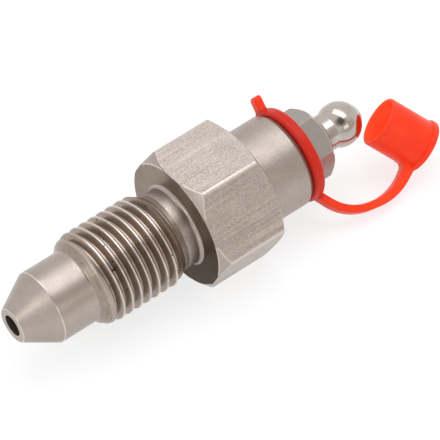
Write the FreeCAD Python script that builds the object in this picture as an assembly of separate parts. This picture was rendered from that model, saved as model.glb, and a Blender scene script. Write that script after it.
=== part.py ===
import FreeCAD, Part
import math
import os

# Track adjuster grease valve: a hex-bodied screw-in valve with a cone nose, a check ball and
# spring inside, a grease nipple screwed into its rear boss and a moulded dust cap on a strap.
# Millimetres. The valve axis is +X, from the outlet in the nose tip towards the nipple.
# The origin is the middle of the outlet's mouth, and the valve lies on one flat of its hexagon.

# Nose and spigot
OUTLET_D = 3.2
TIP_D = 5.2
TIP_EDGE = 0.2
NOSE_INCLUDED_ANGLE = 60.0
SPIGOT_D = 10.9
SPIGOT_LENGTH = 6.0

# Mounting thread M14 x 1.5, drawn at its major diameter
THREAD_D = 14.0
THREAD_LENGTH = 14.3
THREAD_LEAD_IN_ANGLE = 35.0
THREAD_RUN_OUT = 1.9
NECK_D = 11.8
NECK_LENGTH = 2.75
NECK_EDGE = 0.45

# Wrench hexagon
HEX_SIDES = 6
HEX_AF = 19.0
HEX_LENGTH = 11.25
HEX_FRONT_CHAMFER_ANGLE = 40.0
HEX_REAR_CHAMFER_ANGLE = 30.0
HEX_FRONT_FACE_D = 18.7
HEX_REAR_FACE_D = 19.2

# Rear boss that carries the nipple
BOSS_D = 14.2
BOSS_LENGTH = 7.75
BOSS_CHAMFER_LENGTH = 0.8
BOSS_CHAMFER_HEIGHT = 0.5

# Check valve chamber, bored from the rear
CHAMBER_D = 7.0
CHAMBER_FRONT_X = 24.0
DRILL_POINT_ANGLE = 118.0
PORT_RELIEF = 0.9
PORT_MOUTH_CHAMFER = 0.4

# Check ball and its spring
CHECK_BALL_D = 6.0
CHECK_WIRE_D = 0.5
CHECK_SPRING_MEAN_D = 4.6
CHECK_SPRING_TURNS = 5.0

# Sides of a spring's round wire, as drawn
WIRE_SIDES = 6

# Grease nipple
SHANK_D = 9.7
SHANK_ENGAGED = 5.0
SHANK_EXPOSED = 2.0
SHANK_END_CHAMFER = 0.5
NIPPLE_HEX_AF = 10.0
NIPPLE_HEX_CORNER_D = 11.05
NIPPLE_HEX_TURN = 22.4
NIPPLE_BASE_CHAMFER = 0.35
NIPPLE_SIDE_LENGTH = 2.55
NIPPLE_DOME_R = 3.5
NIPPLE_DOME_LENGTH = 2.1
NIPPLE_DOME_CORNER_RUN = 1.15
NIPPLE_DOME_CORNER_DROP = 0.95
NIPPLE_NECK_LENGTH = 1.1
NIPPLE_NECK_D = 5.6
NIPPLE_HEAD_D = 6.5
NIPPLE_HEAD_FOOT_D = 6.1
NIPPLE_HEAD_STEP = 0.25
NIPPLE_LENGTH = 11.1
NIPPLE_TIP_D = 2.4
HEAD_CONE_ANGLE = 41.0
HEAD_ROUND = 1.2
NIPPLE_TIP_ROUND = 0.35

# Inside the nipple
NIPPLE_BORE_D = 3.3
NIPPLE_BALL_D = 3.0
INLET_D = 2.0
INLET_DEPTH = 0.4
CRIMP_HOLE_D = 2.3
CRIMP_DEPTH = 0.35
SEAT_MOUTH_D = 5.0
NIPPLE_WIRE_D = 0.35
NIPPLE_SPRING_MEAN_D = 2.4
NIPPLE_SPRING_TURNS = 5.0
SEAT_ANGLE = 45.0

# Dust cap, one moulding: ring, pull tab, strap and cap
RING_D = 14.5
RING_T = 1.75
RING_EDGE = 0.35
TAB_REACH = 9.45
TAB_T = 1.2
TAB_WIDTH = 1.9
TAB_LEAN = 6.0
TAB_CORNER = 0.6
TAB_EDGE_ROUND = 0.3
TAB_DEPTH_IN_RING = 1.4
STRAP_CLOCK = 130.0
STRAP_T = 1.2
STRAP_WIDTH = 2.2
STRAP_FOOT_DEPTH = 1.5
STRAP_ROOT_DEPTH = 0.9
STRAP_LEAN = 62.0
STRAP_RUN = 3.05
STRAP_MID_HEADING = 10.0
STRAP_MID_RUN = 0.6
CAP_HEADING = -33.3
STRAP_BEND_NEAR_R = 7.0
STRAP_BEND_FAR_R = 9.0
STRAP_END_RUN = 2.0
STRAP_ROOT_FILLET = 0.9
STRAP_RING_FOOT = 0.45
STRAP_WALL_FILLET = 0.89
STRAP_WALL_FOOT = 0.9
CAP_D = 7.42
CAP_BORE_D = 6.6
CAP_LENGTH = 7.85
CAP_END_T = 0.95
CAP_FLANGE_D = 8.0
CAP_FLANGE_T = 0.9
CAP_EDGE = 0.2
CAP_RIM_EDGE = 0.1
CAP_TWIST = 6.0
STRAP_SET_IN = 1.3
STRAP_GRIP = 0.6

# Fits
SHANK_FIT = 0.02
RING_SIDE_CLEARANCE = 0.15
RING_FACE_CLEARANCE = 0.05
SPRING_SEAT_CLEARANCE = 0.01
BALL_SEAT_CLEARANCE = 0.005

# How far a tool that cuts starts outside the piece
OVERCUT = 1.0

# Stations along the axis
CONE_BASE_X = (SPIGOT_D - TIP_D) / 2 / math.tan(math.radians(NOSE_INCLUDED_ANGLE / 2))
SHOULDER_X = CONE_BASE_X + SPIGOT_LENGTH
THREAD_END_X = SHOULDER_X + THREAD_LENGTH
HEX_FRONT_X = THREAD_END_X + NECK_LENGTH
HEX_REAR_X = HEX_FRONT_X + HEX_LENGTH
BOSS_END_X = HEX_REAR_X + BOSS_LENGTH
SHANK_END_X = BOSS_END_X - SHANK_ENGAGED
NIPPLE_BASE_X = BOSS_END_X + SHANK_EXPOSED
NIPPLE_TIP_X = NIPPLE_BASE_X + NIPPLE_LENGTH
RING_FRONT_X = BOSS_END_X + RING_FACE_CLEARANCE

X_AXIS = FreeCAD.Vector(1, 0, 0)
Y_AXIS = FreeCAD.Vector(0, 1, 0)
ORIGIN = FreeCAD.Vector(0, 0, 0)


def half_plane(x, r):
    """Point at x along the axis and r out from it, in the plane that is swept or extruded."""
    return FreeCAD.Vector(x, 0, r)


def outline(corners, chamfered=False):
    """Closed face through (x, r) corners; a third value in a corner is its rounding radius or chamfer."""
    count = len(corners)
    points = [half_plane(corner[0], corner[1]) for corner in corners]
    edges = []
    trims = []
    for i, corner in enumerate(corners):
        radius = corner[2] if len(corner) > 2 else 0.0
        to_last = (points[i - 1] - points[i]).normalize()
        to_next = (points[(i + 1) % count] - points[i]).normalize()
        if radius == 0.0:
            trims.append((points[i], points[i]))
            continue
        half = to_last.getAngle(to_next) / 2
        cut = radius if chamfered else radius / math.tan(half)
        start = points[i] + to_last * cut
        end = points[i] + to_next * cut
        trims.append((start, end))
        if chamfered:
            edges.append(Part.LineSegment(start, end).toShape())
            continue
        middle = (to_last + to_next).normalize()
        crown = points[i] + middle * (radius / math.sin(half) - radius)
        edges.append(Part.Arc(start, crown, end).toShape())
    for i in range(count):
        leave = trims[i][1]
        arrive = trims[(i + 1) % count][0]
        if leave.distanceToPoint(arrive) > 1e-6:
            edges.append(Part.LineSegment(leave, arrive).toShape())
    return Part.Face(Part.Wire(Part.__sortEdges__(edges)))


def turned(corners, chamfered=False):
    """Solid turned about the valve axis from an outline."""
    return outline(corners, chamfered).revolve(ORIGIN, X_AXIS, 360)


def hex_bar(across_flats, start_x, length, turn):
    """Hexagonal bar along the axis, with a corner towards -Y when turn is 0."""
    corner_r = across_flats / math.sqrt(3)
    points = []
    for i in range(HEX_SIDES + 1):
        angle = math.radians(turn) + 2 * math.pi * i / HEX_SIDES
        points.append(FreeCAD.Vector(start_x, -corner_r * math.cos(angle), corner_r * math.sin(angle)))
    return Part.Face(Part.makePolygon(points)).extrude(FreeCAD.Vector(length, 0, 0))


def coil_spring(wire_d, mean_d, turns, start_x, end_x):
    """Compression spring on the axis, its wire drawn with flat sides and its two ends ground flat."""
    pitch = (end_x - start_x) / turns
    helix = Part.makeHelix(pitch, pitch * (turns + 1), mean_d / 2)
    section = []
    for i in range(WIRE_SIDES + 1):
        angle = 2 * math.pi * i / WIRE_SIDES
        section.append(half_plane(mean_d / 2 + wire_d / 2 * math.cos(angle), wire_d / 2 * math.sin(angle)))
    coil = Part.Wire(helix).makePipeShell([Part.makePolygon(section)], True, True)
    kept = Part.makeCylinder(mean_d, end_x - start_x, FreeCAD.Vector(0, 0, pitch / 2))
    spring = coil.common(kept)
    spring.translate(FreeCAD.Vector(0, 0, start_x - pitch / 2))
    spring.rotate(ORIGIN, Y_AXIS, 90)
    return spring


def ball_on_cone(ball_d, cone_mouth_x, cone_mouth_r, towards_tip):
    """Middle of a ball that rests in a conical seat which narrows towards_tip (+1 or -1)."""
    half = math.radians(SEAT_ANGLE)
    ball_r = ball_d / 2 + BALL_SEAT_CLEARANCE
    touch_r = ball_r * math.cos(half)
    touch_x = cone_mouth_x + towards_tip * (cone_mouth_r - touch_r) / math.tan(half)
    return touch_x - towards_tip * ball_r * math.sin(half)


def spring_end_on_ball(ball_x, ball_d, mean_d, wire_d):
    """Where a spring's end face, in front of a ball, meets it along the inside of its coil."""
    inner_r = (mean_d - wire_d) / 2
    return ball_x - math.sqrt((ball_d / 2) ** 2 - inner_r ** 2) - SPRING_SEAT_CLEARANCE


def chamber_floor_x():
    """Where the drill point of the chamber runs into the outlet bore."""
    return CHAMBER_FRONT_X - (CHAMBER_D - OUTLET_D) / 2 / math.tan(math.radians(DRILL_POINT_ANGLE / 2))


def valve_body():
    """Turned and milled body with its hexagon, outlet, check chamber and port for the nipple."""
    barrel_r = HEX_AF / math.sqrt(3) + OVERCUT
    front_slope = math.tan(math.radians(HEX_FRONT_CHAMFER_ANGLE))
    rear_slope = math.tan(math.radians(HEX_REAR_CHAMFER_ANGLE))
    front_chamfer = (barrel_r - HEX_FRONT_FACE_D / 2) * front_slope
    rear_chamfer = (barrel_r - HEX_REAR_FACE_D / 2) * rear_slope
    lead_in = (THREAD_D - SPIGOT_D) / 2 / math.tan(math.radians(THREAD_LEAD_IN_ANGLE))
    thread_r = THREAD_D / 2
    neck_r = NECK_D / 2
    outside = turned([
        (0, 0),
        (0, TIP_D / 2, TIP_EDGE),
        (CONE_BASE_X, SPIGOT_D / 2),
        (SHOULDER_X, SPIGOT_D / 2),
        (SHOULDER_X + lead_in, thread_r),
        (THREAD_END_X - THREAD_RUN_OUT, thread_r),
        (THREAD_END_X, neck_r),
        (HEX_FRONT_X, neck_r, NECK_EDGE),
        (HEX_FRONT_X, HEX_FRONT_FACE_D / 2),
        (HEX_FRONT_X + front_chamfer, barrel_r),
        (HEX_REAR_X - rear_chamfer, barrel_r),
        (HEX_REAR_X, HEX_REAR_FACE_D / 2),
        (HEX_REAR_X, BOSS_D / 2),
        (BOSS_END_X - BOSS_CHAMFER_LENGTH, BOSS_D / 2),
        (BOSS_END_X, BOSS_D / 2 - BOSS_CHAMFER_HEIGHT),
        (BOSS_END_X, 0),
    ], chamfered=True)
    port_r = SHANK_D / 2 + SHANK_FIT
    port_floor_x = SHANK_END_X - PORT_RELIEF
    inside = turned([
        (-OVERCUT, 0),
        (-OVERCUT, OUTLET_D / 2),
        (chamber_floor_x(), OUTLET_D / 2),
        (CHAMBER_FRONT_X, CHAMBER_D / 2),
        (port_floor_x, CHAMBER_D / 2),
        (port_floor_x, port_r),
        (BOSS_END_X - PORT_MOUTH_CHAMFER, port_r),
        (BOSS_END_X + OVERCUT, port_r + PORT_MOUTH_CHAMFER + OVERCUT),
        (BOSS_END_X + OVERCUT, 0),
    ])
    bar = hex_bar(HEX_AF, 0, BOSS_END_X, 0)
    return outside.common(bar).cut(inside)


def check_ball_x():
    """Middle of the check ball, closed on the seat in the end of the nipple's shank."""
    return ball_on_cone(CHECK_BALL_D, SHANK_END_X, SEAT_MOUTH_D / 2, 1)


def check_ball():
    return Part.makeSphere(CHECK_BALL_D / 2, FreeCAD.Vector(check_ball_x(), 0, 0))


def check_spring():
    """Spring between the chamber's drill point and the check ball."""
    slope = math.tan(math.radians(DRILL_POINT_ANGLE / 2))
    outer_r = (CHECK_SPRING_MEAN_D + CHECK_WIRE_D) / 2
    floor_x = CHAMBER_FRONT_X - (CHAMBER_D / 2 - outer_r) / slope + SPRING_SEAT_CLEARANCE
    end_x = spring_end_on_ball(check_ball_x(), CHECK_BALL_D, CHECK_SPRING_MEAN_D, CHECK_WIRE_D)
    return coil_spring(CHECK_WIRE_D, CHECK_SPRING_MEAN_D, CHECK_SPRING_TURNS, floor_x, end_x)


def inlet_cone_x():
    """Where the seat for the nipple ball opens out of the inlet hole."""
    return NIPPLE_TIP_X - INLET_DEPTH


def grease_nipple():
    """Nipple with its shank, hexagon, dome, neck and head, bored for its own ball and spring."""
    base_x = NIPPLE_BASE_X
    corner_r = NIPPLE_HEX_CORNER_D / 2
    neck_r = NIPPLE_NECK_D / 2
    head_r = NIPPLE_HEAD_D / 2
    cone_run = (head_r - NIPPLE_TIP_D / 2) / math.tan(math.radians(HEAD_CONE_ANGLE))
    side_end_x = base_x + NIPPLE_SIDE_LENGTH
    dome_end_x = side_end_x + NIPPLE_DOME_LENGTH
    neck_end_x = dome_end_x + NIPPLE_NECK_LENGTH
    outside = turned([
        (SHANK_END_X, 0),
        (SHANK_END_X, SHANK_D / 2 - SHANK_END_CHAMFER),
        (SHANK_END_X + SHANK_END_CHAMFER, SHANK_D / 2),
        (base_x, SHANK_D / 2),
        (base_x, corner_r - NIPPLE_BASE_CHAMFER),
        (base_x + NIPPLE_BASE_CHAMFER, corner_r),
        (side_end_x, corner_r),
        (side_end_x + NIPPLE_DOME_CORNER_RUN, corner_r - NIPPLE_DOME_CORNER_DROP, NIPPLE_DOME_R),
        (dome_end_x, neck_r),
        (neck_end_x, neck_r),
        (neck_end_x + NIPPLE_HEAD_STEP, NIPPLE_HEAD_FOOT_D / 2),
        (NIPPLE_TIP_X - cone_run, head_r, HEAD_ROUND),
        (NIPPLE_TIP_X, NIPPLE_TIP_D / 2, NIPPLE_TIP_ROUND),
        (NIPPLE_TIP_X, 0),
    ])
    slope = math.tan(math.radians(SEAT_ANGLE))
    crimp_x = SHANK_END_X + (SEAT_MOUTH_D - CRIMP_HOLE_D) / 2 / slope
    bore_end_x = inlet_cone_x() - (NIPPLE_BORE_D - INLET_D) / 2 / slope
    inside = turned([
        (SHANK_END_X - OVERCUT, 0),
        (SHANK_END_X - OVERCUT, SEAT_MOUTH_D / 2 + OVERCUT * slope),
        (crimp_x, CRIMP_HOLE_D / 2),
        (crimp_x + CRIMP_DEPTH, CRIMP_HOLE_D / 2),
        (crimp_x + CRIMP_DEPTH, NIPPLE_BORE_D / 2),
        (bore_end_x, NIPPLE_BORE_D / 2),
        (inlet_cone_x(), INLET_D / 2),
        (NIPPLE_TIP_X + OVERCUT, INLET_D / 2),
        (NIPPLE_TIP_X + OVERCUT, 0),
    ])
    bar = hex_bar(NIPPLE_HEX_AF, SHANK_END_X, NIPPLE_TIP_X - SHANK_END_X, NIPPLE_HEX_TURN)
    return outside.common(bar).cut(inside)


def nipple_ball_x():
    """Middle of the nipple ball, closed on its seat behind the inlet hole."""
    return ball_on_cone(NIPPLE_BALL_D, inlet_cone_x(), INLET_D / 2, 1)


def nipple_ball():
    return Part.makeSphere(NIPPLE_BALL_D / 2, FreeCAD.Vector(nipple_ball_x(), 0, 0))


def nipple_spring():
    """Spring between the crimped end of the nipple's bore and the nipple ball."""
    slope = math.tan(math.radians(SEAT_ANGLE))
    start_x = SHANK_END_X + (SEAT_MOUTH_D - CRIMP_HOLE_D) / 2 / slope + CRIMP_DEPTH + SPRING_SEAT_CLEARANCE
    end_x = spring_end_on_ball(nipple_ball_x(), NIPPLE_BALL_D, NIPPLE_SPRING_MEAN_D, NIPPLE_WIRE_D)
    return coil_spring(NIPPLE_WIRE_D, NIPPLE_SPRING_MEAN_D, NIPPLE_SPRING_TURNS, start_x, end_x)


def heading(angle):
    """Unit step in the strap's plane, at this angle from the valve axis."""
    return half_plane(math.cos(math.radians(angle)), math.sin(math.radians(angle)))


def beside(point, angle, distance):
    """Point this far to the left of a line through point with this heading."""
    return point + heading(angle + 90) * distance


def meet(p, p_angle, q, q_angle):
    """Where the line through p meets the line through q, in the strap's plane."""
    step = heading(p_angle)
    normal = heading(q_angle + 90)
    return p + step * ((q - p).dot(normal) / step.dot(normal))


def strap_stations():
    """Foot, the two bend corners and the cap end of the strap's middle line."""
    near_half = math.radians((STRAP_LEAN - STRAP_MID_HEADING) / 2)
    far_half = math.radians((STRAP_MID_HEADING - CAP_HEADING) / 2)
    near_tangent = STRAP_BEND_NEAR_R * math.tan(near_half)
    far_tangent = STRAP_BEND_FAR_R * math.tan(far_half)
    foot = half_plane(RING_FRONT_X + RING_T / 2, RING_D / 2 - STRAP_FOOT_DEPTH)
    near = foot + heading(STRAP_LEAN) * (STRAP_RUN + near_tangent)
    far = near + heading(STRAP_MID_HEADING) * (near_tangent + STRAP_MID_RUN + far_tangent)
    end = far + heading(CAP_HEADING) * (far_tangent + STRAP_END_RUN)
    return foot, near, far, end


def cap_wall_sagitta():
    """How far the cap's round wall falls away at the strap's edges."""
    wall_r = CAP_D / 2
    return wall_r - math.sqrt(wall_r ** 2 - (STRAP_WIDTH / 2) ** 2)


def cap_end_centre():
    """Middle of the cap's closed face, and the direction that its mouth looks."""
    end = strap_stations()[3]
    mouth = heading(CAP_HEADING - 90)
    return end + heading(CAP_HEADING) * (CAP_D / 2 - STRAP_GRIP) - mouth * STRAP_SET_IN, mouth


def strap():
    """Flat strap bent in one plane, rounded into the ring's rear face and the cap's wall."""
    foot, near, far, end = strap_stations()
    half = STRAP_T / 2
    inner_near = beside(near, STRAP_LEAN, -half)
    inner_far = beside(far, CAP_HEADING, -half)
    outer_near = beside(near, STRAP_LEAN, half)
    outer_far = beside(far, CAP_HEADING, half)
    ring_corner = half_plane(RING_FRONT_X + RING_T, RING_D / 2 - STRAP_ROOT_DEPTH)
    ring_foot = ring_corner - half_plane(0, STRAP_RING_FOOT)
    inner_bend_near = meet(inner_near, STRAP_LEAN, beside(near, STRAP_MID_HEADING, -half), STRAP_MID_HEADING)
    inner_bend_far = meet(inner_far, CAP_HEADING, beside(near, STRAP_MID_HEADING, -half), STRAP_MID_HEADING)
    outer_bend_near = meet(outer_near, STRAP_LEAN, beside(near, STRAP_MID_HEADING, half), STRAP_MID_HEADING)
    outer_bend_far = meet(outer_far, CAP_HEADING, beside(near, STRAP_MID_HEADING, half), STRAP_MID_HEADING)
    grip = STRAP_GRIP - cap_wall_sagitta()
    wall_point = end - heading(CAP_HEADING) * grip
    wall_corner = meet(inner_far, CAP_HEADING, wall_point, CAP_HEADING - 90)
    wall_foot = wall_corner + heading(CAP_HEADING - 90) * STRAP_WALL_FOOT
    inside_foot = wall_foot + heading(CAP_HEADING) * grip
    outer_end = beside(end, CAP_HEADING, half)
    outer_start = meet(outer_near, STRAP_LEAN, ring_foot, 0)
    corners = [
        (outer_start.x, outer_start.z),
        (outer_bend_near.x, outer_bend_near.z, STRAP_BEND_NEAR_R + half),
        (outer_bend_far.x, outer_bend_far.z, STRAP_BEND_FAR_R + half),
        (outer_end.x, outer_end.z),
        (inside_foot.x, inside_foot.z),
        (wall_foot.x, wall_foot.z),
        (wall_corner.x, wall_corner.z, STRAP_WALL_FILLET),
        (inner_bend_far.x, inner_bend_far.z, STRAP_BEND_FAR_R - half),
        (inner_bend_near.x, inner_bend_near.z, STRAP_BEND_NEAR_R - half),
        (ring_corner.x, ring_corner.z, STRAP_ROOT_FILLET),
        (ring_foot.x, ring_foot.z),
    ]
    face = outline(corners)
    face.translate(Y_AXIS * (-STRAP_WIDTH / 2))
    return face.extrude(Y_AXIS * STRAP_WIDTH)


def pull_tab():
    """Tab in the ring's plane on the side away from the strap, leaning a little to the rear."""
    lean = math.tan(math.radians(TAB_LEAN))
    root_r = RING_D / 2 - TAB_DEPTH_IN_RING
    shift = (TAB_REACH - root_r) * lean
    front_x = RING_FRONT_X
    face = outline([
        (front_x, -root_r),
        (front_x + TAB_T, -root_r),
        (front_x + TAB_T + shift, -TAB_REACH, TAB_EDGE_ROUND),
        (front_x + shift, -TAB_REACH, TAB_EDGE_ROUND),
    ])
    face.translate(Y_AXIS * (-TAB_WIDTH / 2))
    tab = face.extrude(Y_AXIS * TAB_WIDTH)
    corner_r = TAB_CORNER
    side = TAB_WIDTH / 2
    plan = [
        FreeCAD.Vector(0, -side, 0),
        FreeCAD.Vector(0, -side, -TAB_REACH + corner_r),
        FreeCAD.Vector(0, -side + corner_r, -TAB_REACH),
        FreeCAD.Vector(0, side - corner_r, -TAB_REACH),
        FreeCAD.Vector(0, side, -TAB_REACH + corner_r),
        FreeCAD.Vector(0, side, 0),
    ]
    turn = corner_r * math.sqrt(0.5)
    left_crown = FreeCAD.Vector(0, -side + corner_r - turn, -TAB_REACH + corner_r - turn)
    right_crown = FreeCAD.Vector(0, side - corner_r + turn, -TAB_REACH + corner_r - turn)
    edges = [
        Part.LineSegment(plan[0], plan[1]).toShape(),
        Part.Arc(plan[1], left_crown, plan[2]).toShape(),
        Part.LineSegment(plan[2], plan[3]).toShape(),
        Part.Arc(plan[3], right_crown, plan[4]).toShape(),
        Part.LineSegment(plan[4], plan[5]).toShape(),
        Part.LineSegment(plan[5], plan[0]).toShape(),
    ]
    plate = Part.Face(Part.Wire(edges)).extrude(X_AXIS * (NIPPLE_TIP_X + RING_T))
    return tab.common(plate)


def cap_placed(shape):
    """Move a shape from the cap's own frame, closed face at the origin, to the strap's end."""
    centre, mouth = cap_end_centre()
    shape.rotate(ORIGIN, Y_AXIS, 90 - CAP_HEADING)
    shape.rotate(ORIGIN, heading(CAP_HEADING), CAP_TWIST)
    shape.translate(centre)
    return shape


def cap_outside():
    """Round wall of the cap with the flange at its closed end."""
    return cap_placed(turned([
        (0, 0),
        (0, CAP_FLANGE_D / 2, CAP_EDGE),
        (CAP_FLANGE_T, CAP_FLANGE_D / 2, CAP_EDGE),
        (CAP_FLANGE_T, CAP_D / 2),
        (CAP_LENGTH, CAP_D / 2, CAP_RIM_EDGE),
        (CAP_LENGTH, 0),
    ], chamfered=True))


def cap_socket():
    """Blind socket that goes over the nipple's head."""
    return cap_placed(turned([
        (CAP_END_T, 0),
        (CAP_END_T, CAP_BORE_D / 2),
        (CAP_LENGTH + OVERCUT, CAP_BORE_D / 2),
        (CAP_LENGTH + OVERCUT, 0),
    ]))


def dust_cap():
    """Ring, strap, tab and cap as one moulding, turned about the axis to where they hang."""
    ring_inner_r = SHANK_D / 2 + RING_SIDE_CLEARANCE
    ring = turned([
        (RING_FRONT_X, ring_inner_r, RING_EDGE),
        (RING_FRONT_X, RING_D / 2, RING_EDGE),
        (RING_FRONT_X + RING_T, RING_D / 2, RING_EDGE),
        (RING_FRONT_X + RING_T, ring_inner_r, RING_EDGE),
    ], chamfered=True)
    cap = ring.fuse([strap(), pull_tab(), cap_outside()]).cut(cap_socket())
    cap.rotate(ORIGIN, X_AXIS, STRAP_CLOCK)
    return cap.removeSplitter()


PIECES = {
    "valve_body": valve_body,
    "check_ball": check_ball,
    "check_spring": check_spring,
    "grease_nipple": grease_nipple,
    "nipple_ball": nipple_ball,
    "nipple_spring": nipple_spring,
    "dust_cap": dust_cap,
}

os.makedirs("parts", exist_ok=True)
for name, make in PIECES.items():
    piece = make()
    if piece.ShapeType != "Solid":
        piece = piece.Solids[0] if len(piece.Solids) == 1 else piece
    box = piece.BoundBox
    print("%s: %s, %d solid, valid %s, volume %.1f, x %.2f..%.2f y %.2f..%.2f z %.2f..%.2f" % (
        name, piece.ShapeType, len(piece.Solids), piece.isValid(), piece.Volume,
        box.XMin, box.XMax, box.YMin, box.YMax, box.ZMin, box.ZMax))
    piece.exportStep("parts/" + name + ".step")
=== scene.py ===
import math
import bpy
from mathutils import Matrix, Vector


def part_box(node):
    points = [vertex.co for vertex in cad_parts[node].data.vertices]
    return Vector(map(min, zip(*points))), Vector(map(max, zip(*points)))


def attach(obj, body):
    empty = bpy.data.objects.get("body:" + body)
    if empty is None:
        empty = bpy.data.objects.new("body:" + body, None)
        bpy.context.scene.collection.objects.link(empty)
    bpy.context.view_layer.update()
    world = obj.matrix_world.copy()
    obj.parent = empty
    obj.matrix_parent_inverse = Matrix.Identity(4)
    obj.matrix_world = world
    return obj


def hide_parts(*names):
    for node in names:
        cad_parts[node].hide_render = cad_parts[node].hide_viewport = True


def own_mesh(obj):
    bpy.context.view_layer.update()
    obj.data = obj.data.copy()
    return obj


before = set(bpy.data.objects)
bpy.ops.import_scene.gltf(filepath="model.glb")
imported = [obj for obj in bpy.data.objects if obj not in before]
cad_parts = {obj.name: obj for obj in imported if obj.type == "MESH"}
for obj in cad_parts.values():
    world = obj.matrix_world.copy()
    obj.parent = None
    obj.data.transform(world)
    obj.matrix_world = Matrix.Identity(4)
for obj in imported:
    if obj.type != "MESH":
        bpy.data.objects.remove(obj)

from types import SimpleNamespace

import bmesh
import bpy
from bpy.props import FloatProperty, FloatVectorProperty, IntProperty, PointerProperty
from mathutils import Matrix, Vector

bl_info = {
    "name": "Track adjuster grease valve",
    "version": (1, 0, 0),
    "blender": (4, 5, 0),
    "location": "3D View > Sidebar > Grease valve",
    "description": "Builds the valve's body, nipple, balls, springs and dust cap over its solids",
    "category": "Object",
}

MM = 0.001
ORIGIN = Vector((0, 0, 0))
X_AXIS = Vector((1, 0, 0))
Y_AXIS = Vector((0, 1, 0))

# How finely round shapes are divided, and what counts as sharp, flat or close
TURN_STEPS = 192
SMALL_TURN_STEPS = 128
THREAD_STEPS = 120
WIRE_STEPS = 72
WIRE_SIDES = 16
BALL_FINENESS = 5
ARC_STEP = math.radians(11)
ARC_LENGTH = 0.6 * MM
SHARP_ANGLE = math.radians(32)
FACET_ANGLE = math.radians(14)
FLAT_AREA = 5 * MM * MM
HOLD = 0.05 * MM
WELD = 0.0004 * MM


def length(name, description, millimetres):
    return FloatProperty(name=name, description=description, default=millimetres * MM, min=0.0,
                         unit="LENGTH", precision=5)


def turn(name, description, degrees):
    return FloatProperty(name=name, description=description, default=math.radians(degrees),
                         unit="ROTATION")


def colour(name, description, rgb):
    return FloatVectorProperty(name=name, description=description, default=rgb, size=3, min=0.0,
                               max=1.0, subtype="COLOR")


class BodySizes(bpy.types.PropertyGroup):
    """Sizes of the hex-bodied valve."""
    outlet: length("Outlet", "Diameter of the hole in the nose", 3.2)
    tip: length("Tip", "Diameter of the nose's flat end", 5.2)
    tip_round: length("Tip rounding", "Radius round the nose's flat end", 0.35)
    nose_angle: turn("Nose angle", "Included angle of the cone", 60.0)
    spigot: length("Spigot", "Diameter of the plain part ahead of the thread", 10.9)
    spigot_length: length("Spigot length", "Length of that plain part", 6.0)
    thread: length("Thread", "Major diameter of the thread", 14.0)
    pitch: length("Pitch", "Distance from one crest to the next", 1.5)
    thread_depth: length("Thread depth", "Height of a crest over its root", 0.92)
    lead_in: turn("Lead-in", "Slope of the cone from the spigot to the first crest", 45.0)
    lead_in_round: length("Lead-in rounding", "Radius at the foot of that cone", 0.5)
    lead_in_early: length("Lead-in start", "How far ahead of the thread that cone starts", 0.12)
    first_crest: length("First crest", "Radius at which that cone meets the worn first crest", 6.55)
    full_crest: length("Full crest", "Where along the axis the crest has its full height", 13.4)
    thread_crest: length("Crest width", "Flat width of a crest", 0.19)
    thread_start: length("Thread start", "Where along the axis the helix is at the top", 13.40)
    thread_length: length("Thread length", "From the shoulder to the relief neck", 14.3)
    run_out: length("Run-out", "Length over which the thread fades into the neck", 1.9)
    neck: length("Neck", "Diameter of the relief neck", 11.8)
    neck_length: length("Neck length", "Length of the relief neck", 2.75)
    neck_fillet: length("Neck fillet", "Radius between neck and hexagon", 0.6)
    hexagon: length("Hexagon", "Width across flats", 19.0)
    hexagon_length: length("Hexagon length", "Length of the hexagon", 11.25)
    hexagon_front: length("Front face", "Diameter of the hexagon's front face", 19.1)
    front_slope: turn("Front slope", "Slope of the chamfer at the front face", 44.0)
    rear_slope: turn("Rear slope", "Slope of the chamfer at the rear face", 30.0)
    hexagon_rear: length("Rear face", "Diameter of the hexagon's rear face", 19.2)
    boss: length("Boss", "Diameter of the rear boss", 14.2)
    boss_length: length("Boss length", "Length of the rear boss", 7.75)
    edge: length("Edge rounding", "Radius left on machined edges", 0.12)
    fine_edge: length("Fine edge", "Radius left on the hexagon's turned edges", 0.09)
    worn_edge: length("Worn edge", "Radius worn onto the hexagon's long edges", 0.34)


class NippleSizes(bpy.types.PropertyGroup):
    """Sizes of the grease nipple."""
    shank: length("Shank", "Diameter of the shank", 9.7)
    shank_engaged: length("Shank engaged", "Length of shank inside the boss", 5.0)
    shank_exposed: length("Shank exposed", "Length of shank between boss and hexagon", 2.0)
    hexagon: length("Hexagon", "Width across flats", 9.6)
    corners: length("Corners", "Diameter over the hexagon's turned corners", 11.02)
    hexagon_turn: turn("Hexagon turn", "How far the hexagon is turned about the axis", 22.4)
    side: length("Side", "Height of the hexagon's sides", 2.8)
    dome: length("Dome", "Height of the dome over the sides", 1.67)
    dome_round: length("Dome rounding", "Radius of the dome", 2.0)
    neck: length("Neck", "Diameter of the neck", 5.5)
    head: length("Head", "Diameter of the ball-shaped head", 6.64)
    head_middle: length("Head middle", "From the middle of the head to the tip", 3.18)
    total: length("Length", "From the hexagon's underside to the tip", 11.1)
    tip: length("Tip", "Diameter of the flat tip", 2.5)
    tip_edge: length("Tip edge", "Height of the step from the head to the flat tip", 0.14)
    edge: length("Edge rounding", "Radius left on the hexagon's edges", 0.07)


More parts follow.
